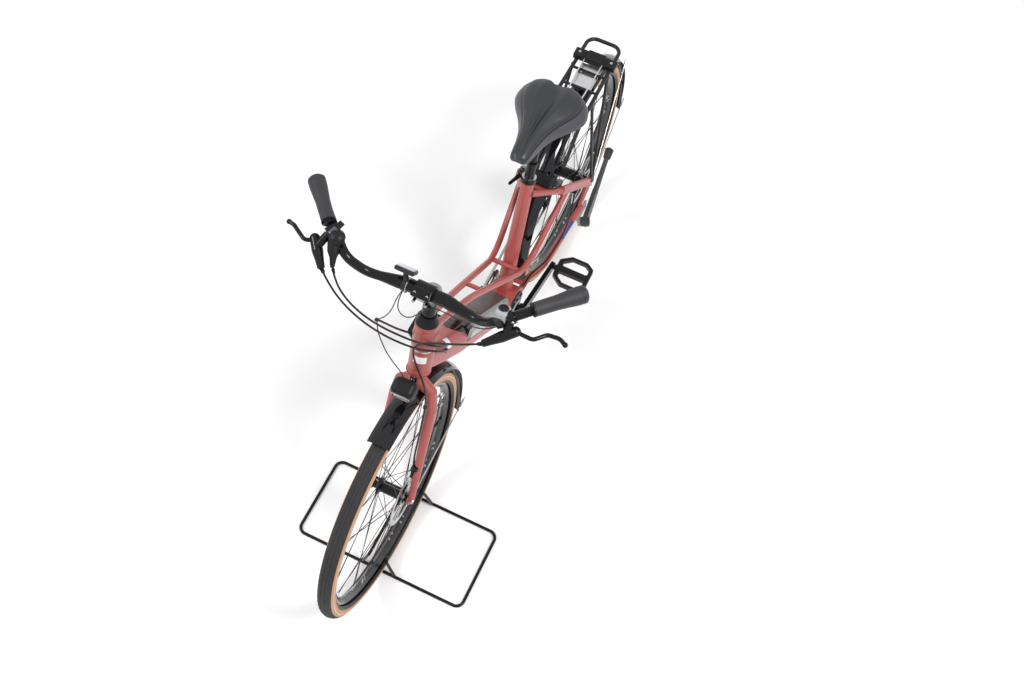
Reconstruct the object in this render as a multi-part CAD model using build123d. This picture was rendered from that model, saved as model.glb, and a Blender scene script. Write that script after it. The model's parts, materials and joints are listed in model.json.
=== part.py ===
from build123d import *
import math
import os

# Step-through electric bicycle held in its wire display stand, in millimetres.
# +X is the riding direction, +Y the rider's left, +Z up; the ground is z = 0.

# ---------------------------------------------------------------- driving sizes: wheels
rim_outer_radius = 316.0
rim_depth = 17.0
rim_width = 24.0
rim_bead = 8.0
tyre_width = 47.0
tyre_height = 40.0
tyre_facets = 6
spoke_radius = 1.0
spoke_count = 32
spoke_cross_angle = 58.0
hub_wall = 4.0
front_flange_y = 32.0
front_flange_radius = 24.0
front_barrel_radius = 13.0
rear_flange_y = 28.0
rear_flange_radius = 28.0
rear_barrel_radius = 17.0
axle_radius = 5.0
axle_play = 0.15
body_gap = 0.3
rotor_radius = 80.0
rotor_band = 14.0
rotor_thickness = 2.0
front_rotor_y = 38.5
rear_rotor_y = 46.0

# ---------------------------------------------------------------- driving sizes: frame
wheelbase = 1129.0
head_angle = 71.0
fork_rake = 47.0
axle_to_crown = 423.0
lower_race_height = 6.0
head_tube_length = 158.0
head_tube_radius = 28.0
steerer_radius = 14.3
fork_half_gap = 50.0
fork_leg_radius = 14.5
fork_tip_radius = 9.0
chainstay_length = 455.0
bottom_bracket_z = 292.0
seat_angle = 72.5
seat_tube_offset = 8.0
seat_tube_radius = 17.5
seat_tube_top_z = 735.0
dropout_half_gap = 67.5
dropout_thickness = 7.0
twin_tube_radius = 8.5
chain_stay_radius = 9.0
seat_stay_radius = 9.5
seat_stay_width = 28.0
seat_stay_thickness = 14.0
down_tube_half_width = 43.0
down_tube_depth = 40.0
battery_length = 355.0
battery_half_width = 41.0
battery_height = 57.0
battery_sill = 8.0
battery_from_head = 220.0
motor_radius = 62.0
motor_left_y = 44.0
motor_right_y = -37.0
motor_shell_wall = 6.0
motor_shell_left_y = 41.0
motor_shell_right_y = -36.0
motor_cover_radius = 34.0

# ---------------------------------------------------------------- driving sizes: the rest
seatpost_radius = 13.6
seatpost_exposed = 54.0
piston_radius = 11.5
saddle_clamp_height = 888.0
saddle_drop = 26.0
fender_clearance = 14.0
fender_thickness = 2.0
fender_half_width = 30.0
fender_crown = 12.0
rack_gap = 24.0
rack_half_width = 52.0
rack_tube_radius = 5.5
rack_tail = 186.0
rack_block_x = 110.0
crank_length = 170.0
crank_angle = 177.0
crank_half_width = 66.0
chain_pitch = 12.7
chain_plate_radius = 4.2
chain_width = 6.4
chainring_teeth = 42
cassette_teeth = (34, 30, 26, 22, 19, 16, 13)
cassette_pitch = 4.2
cassette_y = -35.0
chain_cog = 3
pulley_teeth = 11
pedal_width = 104.0
pedal_length = 102.0
pedal_thickness = 16.0
bar_radius = 11.1
bar_clamp_radius = 15.9
bar_rise = 130.6
bar_reach = 45.6
grip_length = 122.0
grip_radius = 16.0
stem_radius = 17.0
stem_column = 80.0
stem_cap_radius = 21.5
headset_ring_radius = 31.0
stand_wire_radius = 4.5
stand_half_width = 259.0
stand_front_reach = 115.0
stand_rear_reach = 125.0
stand_hoop_height = 92.0
stand_hoop_half_gap = 25.0
stand_hoop_foot = 50.0
side_stand_length = 214.0
side_stand_foot_length = 36.0
side_stand_pin_radius = 4.0
hose_radius = 2.5
wire_radius = 1.2

# ---------------------------------------------------------------- key places
wheel_radius = rim_outer_radius + tyre_height
rim_inner_radius = rim_outer_radius - rim_depth
fender_inner_radius = wheel_radius + fender_clearance
fender_outer_radius = fender_inner_radius + fender_thickness
front_reach = wheelbase + wheel_radius
rear_reach = fender_outer_radius + 4.0
rear_x = -(front_reach - rear_reach) / 2
axle_z = wheel_radius
rear_axle = Vector(rear_x, 0, axle_z)
front_axle = Vector(rear_x + wheelbase, 0, axle_z)
bottom_bracket = Vector(rear_x + chainstay_length, 0, bottom_bracket_z)
rack_height = axle_z + fender_outer_radius + rack_gap

head_cos = math.cos(math.radians(head_angle))
head_sin = math.sin(math.radians(head_angle))
head_up = Vector(-head_cos, 0, head_sin)
head_forward = Vector(head_sin, 0, head_cos)
crown_race = front_axle - head_forward * fork_rake + head_up * axle_to_crown
head_bottom = crown_race + head_up * lower_race_height
head_top = head_bottom + head_up * head_tube_length

seat_cos = math.cos(math.radians(seat_angle))
seat_sin = math.sin(math.radians(seat_angle))
seat_up = Vector(-seat_cos, 0, seat_sin)


def on_seat_line(height):
    run = (height - bottom_bracket_z) / seat_sin
    return bottom_bracket + Vector(seat_tube_offset, 0, 0) + seat_up * run


def on_head_line(distance):
    return head_bottom + head_up * distance


seat_tube_top = on_seat_line(seat_tube_top_z)
seatpost_top = on_seat_line(saddle_clamp_height)
axle_bore = axle_radius + axle_play
chain_y = cassette_y - cassette_pitch * chain_cog

# The down tube runs from the lower head tube to the motor's front.
down_start = on_head_line(36)
down_end = bottom_bracket + Vector(52, 0, 42)
down_axis = (down_end - down_start).normalized()
down_up = Vector(down_axis.Z, 0, -down_axis.X)
down_length = (down_end - down_start).length

bar_centre = on_head_line(head_tube_length + bar_rise) + head_forward * bar_reach

# Left-hand route of the handlebar from the stem clamp to the grip's end.
bar_route = [
    bar_centre,
    bar_centre + Vector(2, 60, 0),
    bar_centre + Vector(15, 140, 5),
    bar_centre + Vector(24, 182, 50),
    bar_centre + Vector(-22, 245, 81),
    bar_centre + Vector(-111, 327, 75),
]


# ---------------------------------------------------------------- shape helpers
def left_right(shape):
    return shape + mirror(shape, about=Plane.XZ)


def mirrored(shape):
    return mirror(shape, about=Plane.XZ)


def flip(point):
    return Vector(point.X, -point.Y, point.Z)


def rod(start, end, radius, end_radius=None):
    plane = Plane(origin=start, z_dir=end - start)
    length = (end - start).length
    low = (Align.CENTER, Align.CENTER, Align.MIN)
    if end_radius is None or abs(end_radius - radius) < 0.001:
        return plane * Cylinder(radius, length, align=low)
    return plane * Cone(radius, end_radius, length, align=low)


def bent_tube(points, radii, radius):
    path = FilletPolyline(*points, radius=radii)
    return sweep(Plane(origin=path @ 0, z_dir=path % 0) * Circle(radius), path=path)


def ball(centre, radius):
    return Pos(centre.X, centre.Y, centre.Z) * Sphere(radius)


def block(centre, size, corner=0.0, turn=(0, 0, 0)):
    solid = Box(*size)
    if corner:
        solid = fillet(solid.edges(), corner)
    return Pos(centre.X, centre.Y, centre.Z) * Rot(*turn) * solid


def flat_bar(start, end, width, thickness, across):
    # Rounded bar from start to end, its width measured along the given direction.
    plane = Plane(origin=start, x_dir=across, z_dir=end - start)
    section = RectangleRounded(width, thickness, min(width, thickness) / 2 - 0.3)
    return extrude(plane * section, amount=(end - start).length)


def around_y(profile, low=0.0, high=360.0):
    return Rot(0, -high, 0) * revolve(profile, Axis.Y, high - low)


def turned(start, along, *profile):
    # Solid of revolution: profile points are (distance along, radius).
    outline = [(radius, distance) for distance, radius in profile]
    outline = [(0, profile[0][0])] + outline + [(0, profile[-1][0])]
    face = Plane.XZ * make_face(Polyline(*outline, close=True))
    return Plane(origin=start, z_dir=along) * revolve(face, Axis.Z)


def closed(*points):
    return make_face(Polyline(*points, close=True))


def place(shape, centre):
    return Pos(centre.X, centre.Y, centre.Z) * shape


def disc_y(centre, radius, y_low, y_high):
    middle = (y_low + y_high) / 2
    return Pos(centre.X, middle, centre.Z) * Rot(90, 0, 0) * Cylinder(radius, y_high - y_low)


def upright(face, y_low, y_high):
    # Plate from a face drawn in X and Z.
    plane = Plane(origin=(0, y_low, 0), x_dir=(1, 0, 0), z_dir=(0, -1, 0))
    return extrude(plane * face, amount=-(y_high - y_low))


def tapered_link(start, end, start_radius, end_radius, thickness, facing):
    # Flat link with round ends of two sizes, lying across the facing direction.
    length = (end - start).length
    lean = math.asin((start_radius - end_radius) / length)
    side = math.cos(lean)
    shift = math.sin(lean)
    web = closed(
        (start_radius * shift, start_radius * side),
        (length + end_radius * shift, end_radius * side),
        (length + end_radius * shift, -end_radius * side),
        (start_radius * shift, -start_radius * side),
    )
    face = web + Circle(start_radius) + Pos(length, 0) * Circle(end_radius)
    plane = Plane(origin=start, x_dir=end - start, z_dir=facing)
    return extrude(plane * face, amount=thickness / 2, both=True)


def save(name, shape):
    solids = shape.solids()
    body = solids[0] if len(solids) == 1 else Compound(children=list(solids))
    export_step(body, os.path.join("parts", name + ".step"))
    print(name, len(solids), round(sum(s.volume for s in solids) / 1000, 1), "cm3")


# ---------------------------------------------------------------- wheels
def tyre():
    # Round casing, flat where it seats on the rim.
    half = tyre_width / 2
    centre = wheel_radius - half
    bead = math.acos((rim_outer_radius - centre) / half)
    points = []
    for number in range(tyre_facets + 1):
        turn = bead * (2 * number / tyre_facets - 1)
        points.append((centre + half * math.cos(turn), half * math.sin(turn)))
    return around_y(closed(*points))


def rim():
    half = rim_width / 2
    section = closed(
        (rim_inner_radius, -half * 0.3),
        (rim_inner_radius, half * 0.3),
        (rim_outer_radius - rim_bead, half),
        (rim_outer_radius, half),
        (rim_outer_radius, -half),
        (rim_outer_radius - rim_bead, -half),
    )
    return around_y(section)


def hub(half_gap, flange_y, flange_radius, barrel_radius, axle_half):
    half_length = half_gap - body_gap
    cone = barrel_radius * 0.8
    profile = [
        (axle_radius, axle_half),
        (axle_radius, half_length),
        (cone, half_length),
        (cone, flange_y + hub_wall),
        (flange_radius, flange_y + 1.5),
        (flange_radius, flange_y - 1.5),
        (barrel_radius, flange_y - 2 * hub_wall),
    ]
    near = [(radius, y) for radius, y in reversed(profile)]
    far = [(radius, -y) for radius, y in profile]
    return around_y(closed((0, -axle_half), *far, *near, (0, axle_half)))


def spokes(flange_y, flange_radius):
    # Half of the spokes leave each flange, leading and trailing in turn.
    shapes = []
    per_side = spoke_count // 2
    for side in (-1, 1):
        for number in range(per_side):
            lead = 1 if number % 2 else -1
            hub_angle = 360 / per_side * (number + (0.25 if side > 0 else 0.75))
            at_hub = math.radians(hub_angle)
            at_rim = math.radians(hub_angle + lead * spoke_cross_angle)
            hub_radius = flange_radius - 3
            rim_radius = rim_inner_radius + 0.2
            hub_y = side * (flange_y + lead * 2.6)
            rim_y = side * 2.2 + lead * 0.9
            start = Vector(hub_radius * math.cos(at_hub), hub_y, hub_radius * math.sin(at_hub))
            end = Vector(rim_radius * math.cos(at_rim), rim_y, rim_radius * math.sin(at_rim))
            shapes.append(rod(start, end, spoke_radius))
    return shapes


def rotor(y):
    # Vented brake disc on a slanted six-arm spider.
    inner = rotor_radius - rotor_band
    high = y + rotor_thickness
    hub_centre = Vector(0, 0, 0)
    disc = disc_y(hub_centre, rotor_radius, y, high) - disc_y(hub_centre, inner, y - 1, high + 1)
    for number in range(18):
        turn = math.radians(20 * number)
        radius = inner + rotor_band * (0.35 if number % 2 else 0.66)
        hole = Vector(radius * math.cos(turn), 0, radius * math.sin(turn))
        disc -= disc_y(hole, 2.6, y - 1, high + 1)
    carrier = 24.0
    for number in range(6):
        turn = math.radians(60 * number)
        reach = math.radians(60 * number + 22)
        start = Vector((carrier - 3) * math.cos(turn), y + 1, (carrier - 3) * math.sin(turn))
        end = Vector((inner + 4) * math.cos(reach), y + 1, (inner + 4) * math.sin(reach))
        disc += tapered_link(start, end, 4.5, 3.2, rotor_thickness, Vector(0, 1, 0))
    ring = disc_y(hub_centre, carrier, y, high) - disc_y(hub_centre, 14, y - 1, high + 1)
    return disc + ring


# ---------------------------------------------------------------- front end
def fork():
    # Barrel crown with sloping shoulders, and legs that taper to the wheel.
    shoulder = crown_race - head_up * 24
    crown = rod(crown_race - head_up * 44, crown_race, 20, 25)
    steerer = rod(crown_race, on_head_line(head_tube_length + 42), steerer_radius)
    leg_top = crown_race - head_up * 54 + Vector(0, 41, 0)
    leg_knee = crown_race - head_up * 108 + Vector(0, fork_half_gap + 0.5, 0)
    leg_end = front_axle + Vector(0, fork_half_gap + 9, 0) + head_up * 14
    arm = rod(shoulder, leg_top, 18, fork_leg_radius + 1)
    upper = rod(leg_top, leg_knee, fork_leg_radius + 1, fork_leg_radius)
    lower = rod(leg_knee, leg_end, fork_leg_radius, fork_tip_radius)
    tip = disc_y(front_axle, 14, fork_half_gap, fork_half_gap + 8)
    side = arm + ball(leg_top, fork_leg_radius + 1) + upper + ball(leg_knee, fork_leg_radius)
    side += lower + ball(leg_end, fork_tip_radius) + tip
    room = fender_half_width + 1.5
    tyre_room = disc_y(front_axle, fender_outer_radius + 1.5, -room, room)
    bore = disc_y(front_axle, axle_bore, -fork_half_gap - 20, fork_half_gap + 20)
    hub_room = disc_y(front_axle, 16, -fork_half_gap + body_gap / 2, fork_half_gap - body_gap / 2)
    return crown + steerer + left_right(side) - tyre_room - bore - hub_room


def fender(centre, low, high):
    # Shallow crowned channel bent round the wheel.
    edge = fender_outer_radius - fender_crown
    wide = fender_half_width
    thin = fender_half_width - fender_thickness
    outline = (
        ThreePointArc((edge, -wide), (fender_outer_radius, 0), (edge, wide))
        + Line((edge, wide), (edge, thin))
        + ThreePointArc((edge, thin), (fender_inner_radius, 0), (edge, -thin))
        + Line((edge, -thin), (edge, -wide))
    )
    return place(around_y(make_face(outline), low, high), centre)


def on_wheel(centre, angle, radius, y=0.0):
    turn = math.radians(angle)
    return centre + Vector(radius * math.cos(turn), y, radius * math.sin(turn))


def fender_pad(centre, angle, reach):
    # Short post that carries the fender from the frame above it.
    inside = on_wheel(centre, angle, fender_outer_radius - 1.5)
    return rod(inside, on_wheel(centre, angle, fender_outer_radius + reach), 7)


def fender_stay(centre, angle, anchor):
    clip = on_wheel(centre, angle, fender_outer_radius - fender_crown + 4, fender_half_width + 2.5)
    along = (anchor - clip).normalized()
    wire = rod(clip - along * 22, anchor, 1.8)
    sleeve = rod(clip - along * 12, clip + along * 16, 3.4)
    return wire + sleeve


def handlebar():
    grip_end = bar_route[4] + (bar_route[5] - bar_route[4]) * 0.98
    half = bent_tube(bar_route[:4] + [grip_end], [60, 60, 40], bar_radius)
    thick_end = bar_route[1].Y
    middle = disc_y(bar_centre, bar_clamp_radius, -thick_end, thick_end)
    taper = turned(
        bar_route[1],
        bar_route[2] - bar_route[1],
        (-4, bar_clamp_radius - 0.3),
        (4, bar_clamp_radius - 0.3),
        (44, bar_radius + 0.2),
    )
    return left_right(half + taper) + middle


def grip():
    inner = bar_route[4]
    along = (bar_route[5] - inner).normalized()
    return turned(
        inner,
        along,
        (0, grip_radius - 1),
        (3, grip_radius),
        (grip_length * 0.45, grip_radius + 0.5),
        (grip_length * 0.8, grip_radius + 4),
        (grip_length - 14, grip_radius + 4.5),
        (grip_length - 13, grip_radius + 3.5),
        (grip_length - 11, grip_radius + 3.5),
        (grip_length - 10, grip_radius + 4.5),
        (grip_length - 3, grip_radius + 4),
        (grip_length, grip_radius + 1),
    )


def on_bar(share):
    return bar_route[3] + (bar_route[4] - bar_route[3]) * share


bar_slope = (bar_route[4] - bar_route[3]).normalized()


def collar(share, width, wall):
    middle = on_bar(share)
    return rod(middle - bar_slope * (width / 2), middle + bar_slope * (width / 2), bar_radius + wall)


def brake_lever(share, hose_end, knuckle, blade):
    # Bar clamp, master cylinder with its reservoir, and the hooked blade.
    clamp_at = on_bar(share)
    reach = (knuckle - hose_end).length
    body = turned(hose_end, knuckle - hose_end, (0, 5), (3, 8.5), (22, 10), (reach * 0.6, 13), (reach, 12))
    bridge = rod(clamp_at, hose_end + (knuckle - hose_end) * 0.72, 9.5, 10)
    hook = bent_tube([knuckle] + blade, [16, 16, 22], 5) + ball(blade[-1], 6.2)
    return collar(share, 15, 4.5) + body + bridge + ball(knuckle, 12) + hook


left_hose_end = bar_centre + Vector(73, 171, 26)
left_knuckle = bar_centre + Vector(20, 226, 38)
left_blade = [
    bar_centre + Vector(24, 268, 43),
    bar_centre + Vector(-1, 291, 43),
    bar_centre + Vector(-4, 318, 43),
    bar_centre + Vector(4, 334, 42),
]
right_hose_end = bar_centre + Vector(66, 219, 31)
right_knuckle = bar_centre + Vector(13, 263, 50)
right_blade = [
    bar_centre + Vector(30, 277, 51),
    bar_centre + Vector(16, 300, 51),
    bar_centre + Vector(3, 321, 50),
    bar_centre + Vector(0, 335, 49),
]


def stem():
    low = on_head_line(head_tube_length + 26.3)
    top = on_head_line(head_tube_length + stem_column)
    column = rod(low, top, stem_radius)
    reach = rod(top - head_up * 20, bar_centre - Vector(6, 0, 4), 15)
    clamp = disc_y(bar_centre, bar_clamp_radius + 5.5, -23, 23)
    faceplate = block(bar_centre + head_forward * 14, (24, 46, 40), 3, (0, 90 - head_angle, 0))
    body = column + reach + clamp + faceplate
    for side in (-15, 15):
        for height in (-14, 14):
            bolt = bar_centre + head_forward * 20 + head_up * height + Vector(0, side, 0)
            body += rod(bolt, bolt + head_forward * 8, 3.6)
    body -= disc_y(bar_centre, bar_clamp_radius, -60, 60)
    return body - rod(low - head_up, on_head_line(head_tube_length + 42), steerer_radius)


def stem_cap():
    low = on_head_line(head_tube_length + stem_column)
    wide = stem_cap_radius
    return turned(low, head_up, (0, wide - 2), (3, wide), (20, wide), (26, wide - 2), (29, wide - 7))


def headset_cover():
    low = head_top + head_up * body_gap
    wide = head_tube_radius
    shell = turned(low, head_up, (0, wide), (3, wide), (14, stem_radius + 7), (26, stem_radius + 3))
    return shell - rod(low - head_up, low + head_up * 28, steerer_radius)


def lower_headset():
    top = head_bottom - head_up * body_gap
    return rod(crown_race, top, headset_ring_radius - 3, headset_ring_radius) - rod(crown_race - head_up, head_bottom + head_up, steerer_radius)


def headlight():
    # Rounded lamp housing with a recessed lens, on a crown bracket.
    centre = crown_race + head_forward * 74 + head_up * 2
    tilt = (0, 12, 0)
    body = block(centre, (46, 60, 50), 15, tilt)
    body -= Pos(centre.X, centre.Y, centre.Z) * Rot(*tilt) * Pos(23, 0, 0) * Box(5, 40, 30)
    body += Pos(centre.X, centre.Y, centre.Z) * Rot(*tilt) * Pos(19, 0, 0) * Rot(0, 90, 0) * Cone(13, 14.5, 4)
    arm = rod(crown_race + head_forward * 20 - head_up * 14, centre - Vector(8, 0, 18), 5)
    return body + arm


bell_share = 0.45


def bell():
    centre = on_bar(bell_share) + Vector(1, 0, 14)
    up = Vector(0.25, 0.05, 1).normalized()
    low = centre - up * 4
    return turned(low, up, (0, 15), (3, 18), (9, 18), (14, 15.5), (18, 10), (20, 4)) + collar(bell_share, 8, 2.5)


def bar_pod(share):
    # Thumb-button pod behind the bar with its clamp ring.
    middle = on_bar(share)
    pod = block(middle + Vector(-14, 0, 5), (34, 28, 40), 7, (0, -20, 0))
    return collar(share, 14, 4) + pod


def shifter():
    # Indicator pod on the bar, trigger housing in front of and below it.
    middle = on_bar(0.58)
    along = right_cable_start - middle
    profile = [(0, 12), (14, 15), (34, 14), (48, 8), (66, 5.5), (70, 3.5)]
    housing = turned(middle + Vector(2, 0, 4), along, *profile)
    window = block(middle + Vector(2, 2, 15), (26, 22, 12), 3, (0, 14, 20))
    lever = flat_bar(middle + Vector(2, 4, 15), middle + Vector(-27, -4, 20), 14, 6, (0, 1, 0.2))
    return housing + window + lever


right_cable_start = bar_centre + Vector(53, 199, 26)


def display():
    # Small computer on a bracket beside the stem.
    ring_at = bar_route[0] + (bar_route[1] - bar_route[0]) * 0.78
    ring_at = flip(ring_at)
    ring = disc_y(ring_at, bar_clamp_radius + 1.5, ring_at.Y - 6, ring_at.Y + 6)
    neck = rod(ring_at + Vector(2, 0, 12), ring_at + Vector(-12, -5, 37), 6)
    screen = block(ring_at + Vector(-13, -5, 38), (32, 48, 11), 4, (0, -48, 0))
    return ring + neck + screen + rod(ring_at + Vector(2, 0, -12), ring_at + Vector(6, 0, -24), 4)


def display_stand():
    # One bent floor frame with a wheel-gripping hoop on each side of the tyre.
    front = front_axle.X + stand_front_reach
    rear = front_axle.X - stand_rear_reach
    low = stand_wire_radius
    side = stand_half_width
    loop = [Vector(front, 0, low), Vector(front, side, low), Vector(rear, side, low), Vector(rear, 0, low)]
    hoop = [
        Vector(front - 2, stand_hoop_foot, low + 3),
        Vector(front - 8, stand_hoop_half_gap, stand_hoop_height),
        Vector(rear + 8, stand_hoop_half_gap, stand_hoop_height),
        Vector(rear + 2, stand_hoop_foot, low + 3),
    ]
    return left_right(bent_tube(loop, [22, 22], stand_wire_radius) + bent_tube(hoop, [16, 16], stand_wire_radius))


# ---------------------------------------------------------------- frame
stay_start = on_seat_line(seat_tube_top_z - 40) + Vector(0, seat_tube_radius - 3, 0)
stay_bend = rear_axle + Vector(225, 65, 244)
stay_foot = rear_axle + Vector(6, dropout_half_gap + seat_stay_thickness / 2, 16)
bridge_share = 0.58
bridge_at = stay_start + (stay_bend - stay_start) * bridge_share
twin_top = on_head_line(head_tube_length - 18) + Vector(-8, 13, 0)
twin_bend = on_seat_line(bottom_bracket_z + 154) + Vector(1, 48, 0)
twin_end = stay_bend + (stay_foot - stay_bend) * 0.16
twin_sag = twin_top + (twin_bend - twin_top) * 0.4 + Vector(0, -6, 22)


def head_tube():
    shell = turned(
        head_bottom,
        head_up,
        (0, head_tube_radius + 1),
        (9, head_tube_radius + 1),
        (14, head_tube_radius - 1.5),
        (head_tube_length - 14, head_tube_radius - 1.5),
        (head_tube_length - 9, head_tube_radius),
        (head_tube_length, head_tube_radius),
    )
    return shell - rod(head_bottom - head_up, head_top + head_up, steerer_radius + 6)


def head_envelope():
    return rod(head_bottom - head_up * 40, head_top + head_up * 40, head_tube_radius + 1)


def down_section(distance, width, low, high):
    # Rounded section across the down tube, from low to high off its axis.
    centre = down_start + down_axis * distance + down_up * ((low + high) / 2)
    plane = Plane(origin=centre, x_dir=(0, 1, 0), z_dir=down_axis)
    corner = min(width, high - low) * 0.4
    return plane * RectangleRounded(width, high - low, corner)


def battery_shape(distance, length, half_width, low, high, corner):
    centre = down_start + down_axis * distance + down_up * ((low + high) / 2)
    plane = Plane(origin=centre, x_dir=(0, 1, 0), z_dir=down_axis)
    return extrude(plane * RectangleRounded(2 * half_width, high - low, corner), amount=length)


battery_end = battery_from_head + battery_length


def down_tube():
    # Narrow at the head tube, then a wide cradle with a full-height collar behind the battery.
    width = 2 * down_tube_half_width
    depth = down_tube_depth
    sections = [
        down_section(-6, 50, -30, 34),
        down_section(battery_from_head * 0.5, width * 0.86, -depth * 0.86, 34),
        down_section(battery_from_head, width, -depth * 0.92, 40),
        down_section(battery_end, width, -depth, 50),
        down_section(down_length + 14, width, -depth, 54),
    ]
    shell = loft(sections[:2])
    for number in range(1, 4):
        shell += loft(sections[number : number + 2])
    room = battery_shape(battery_from_head - body_gap, battery_length + 2 * body_gap, width, battery_sill, width, 4)
    fork_room = rod(head_bottom - head_up * 60, head_bottom - head_up * body_gap, headset_ring_radius + 5)
    return shell - head_envelope() - fork_room - room


def battery():
    # Crowned pack on the cradle: dark spine, nose sloping down to the tube.
    body = battery_shape(battery_from_head, battery_length, battery_half_width, battery_sill - 40, battery_height, 16)
    longer = battery_length + 10
    keep = battery_shape(battery_from_head - 5, longer, 2 * battery_half_width, battery_sill, 2 * battery_height, 2)
    nose_at = down_start + down_axis * battery_from_head + down_up * (battery_height - 15)
    nose = Plane(origin=nose_at, x_dir=down_axis * 1.0 + down_up * 0.13, z_dir=(0, 1, 0)) * Box(260, 60, 200)
    nose_lift = down_up * 30
    return (body & keep) - Pos(nose_lift.X, 0, nose_lift.Z) * nose


def seat_tube():
    low = on_seat_line(bottom_bracket_z + motor_radius)
    tube = rod(low, seat_tube_top, seat_tube_radius + 5, seat_tube_radius)
    bore = rod(on_seat_line(seat_tube_top_z - 190), seat_tube_top + seat_up * 2, seatpost_radius)
    return tube - bore


def twin_tube():
    return bent_tube([twin_top, twin_sag, twin_bend, twin_end], [900, 90], twin_tube_radius)


def cross_bar(at, radius):
    # Tube between the twin tubes with two threaded bosses.
    bar = rod(flip(at), at, radius)
    for side in (-1, 1):
        boss = Vector(at.X, side * at.Y * 0.4, at.Z)
        bar += rod(boss, boss + Vector(0.5, 0, 0.9).normalized() * (radius + 2.5), 3.6)
    return bar


def frame_bridges():
    front = twin_sag + (twin_bend - twin_sag) * 0.19
    back = twin_bend + (twin_sag - twin_bend) * 0.07
    return cross_bar(front, 6) + cross_bar(back, 7)


def seat_stay():
    upper = rod(stay_start, stay_bend, seat_stay_radius)
    along = (stay_foot - stay_bend).normalized()
    across = along.cross(Vector(0, 1, 0))
    lower = flat_bar(stay_bend - along * 12, stay_foot, seat_stay_width, seat_stay_thickness, across)
    return upper + lower


def chain_stay():
    route = [
        bottom_bracket + Vector(-40, 30, -2),
        bottom_bracket + Vector(-104, 34, 0),
        bottom_bracket + Vector(-166, 58, 4),
        rear_axle + Vector(60, 76, -44),
    ]
    bridge_x = -82
    bridge = rod(bottom_bracket + Vector(bridge_x, -34, 0), bottom_bracket + Vector(bridge_x, 34, 0), 7)
    return bent_tube(route, [40, 40], chain_stay_radius) + bridge


def dropout():
    outline = [(-16, -14), (4, -34), (66, -56), (72, -34), (34, 6), (22, 36), (-4, 36), (-16, 10)]
    points = [(rear_x + x, axle_z + z) for x, z in outline]
    plate = fillet(closed(*points).vertices(), 5)
    solid = upright(plate, dropout_half_gap, dropout_half_gap + dropout_thickness)
    return solid - disc_y(rear_axle, axle_bore, -200, 200)


def motor_shell():
    # Bracket round the top and back of the motor that ties the tubes together.
    centre = motor_centre
    outer = motor_radius + motor_shell_wall
    ring = disc_y(centre, outer, motor_shell_right_y, motor_shell_left_y)
    below = Pos(centre.X, 0, centre.Z - outer - 18) * Box(4 * outer, 120, 2 * outer)
    ahead = Pos(centre.X + outer + 28, 0, centre.Z) * Box(2 * outer, 120, 4 * outer)
    return ring - below - ahead - disc_y(bottom_bracket, 13, -60, 60)


motor_centre = bottom_bracket + Vector(12, 0, 4)


def motor():
    drum = disc_y(motor_centre, motor_radius, motor_right_y, motor_left_y)
    nose = disc_y(motor_centre + Vector(44, 0, 20), 34, motor_right_y + 3, motor_left_y - 6)
    body = fillet(drum.edges(), 7) + nose
    cover = disc_y(motor_centre, motor_cover_radius, motor_left_y - 1, motor_left_y + 3)
    body += cover
    for number in range(5):
        turn = math.radians(72 * number + 18)
        spot = motor_centre + Vector(motor_radius * 0.8 * math.cos(turn), 0, motor_radius * 0.8 * math.sin(turn))
        body += disc_y(spot, 6, motor_right_y - 2, motor_left_y + 2)
    return body - disc_y(bottom_bracket, 12, -60, 60)


# ---------------------------------------------------------------- crank set
def toothed(centre, teeth, y_low, y_high):
    # Sprocket just clear of the chain: tooth tips inside the link plates.
    tip = pitch_radius(teeth) - chain_plate_radius - 0.4
    root = tip - 4.0
    points = []
    for number in range(teeth):
        for share, radius in ((0.0, root), (0.3, root), (0.5, tip), (0.75, tip)):
            turn = 2 * math.pi * (number + share) / teeth
            points.append((centre.X + radius * math.cos(turn), centre.Z + radius * math.sin(turn)))
    return upright(closed(*points), y_low, y_high)


def pitch_radius(teeth):
    return teeth * chain_pitch / (2 * math.pi)


def crank_arm(side, angle):
    turn = math.radians(angle)
    base = bottom_bracket + Vector(0, side * crank_half_width, 0)
    end = base + Vector(crank_length * math.cos(turn), side * 17, crank_length * math.sin(turn))
    along = (end - base).normalized()
    facing = Vector(0, 1, 0) - along * along.Y
    arm = tapered_link(base, end, 16, 13, 13, facing)
    arm += disc_y(base, 19, min(side * 54, side * 73), max(side * 54, side * 73))
    arm -= disc_y(base, 9, min(side * 70, side * 80), max(side * 70, side * 80))
    arm -= disc_y(end, side_stand_pin_radius + 1, -130, 130)
    return arm - disc_y(end, 13, min(side * 89.5, side * 130), max(side * 89.5, side * 130))


def pedal_centre(angle):
    turn = math.radians(angle)
    return bottom_bracket + Vector(crank_length * math.cos(turn), 0, crank_length * math.sin(turn))


def crankset():
    spindle = disc_y(bottom_bracket, 11, -66, 66)
    return spindle + crank_arm(1, crank_angle) + crank_arm(-1, crank_angle + 180)


def chainring():
    # Toothed ring on a five-arm spider, inside the crank arm.
    y = chain_y
    ring = toothed(bottom_bracket, chainring_teeth, y - 1, y + 1)
    ring -= disc_y(bottom_bracket, pitch_radius(chainring_teeth) - 22, y - 2, y + 2)
    hub_radius = 20
    for number in range(5):
        turn = math.radians(72 * number + 20)
        reach = pitch_radius(chainring_teeth) - 17
        start = bottom_bracket + Vector(0, y - 3, 0)
        end = start + Vector(reach * math.cos(turn), 0, reach * math.sin(turn))
        ring += tapered_link(start, end, 13, 7, 4, Vector(0, 1, 0))
    ring += disc_y(bottom_bracket, hub_radius, y - 5, y + 1)
    return ring - disc_y(bottom_bracket, 11, -90, 90)


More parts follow.
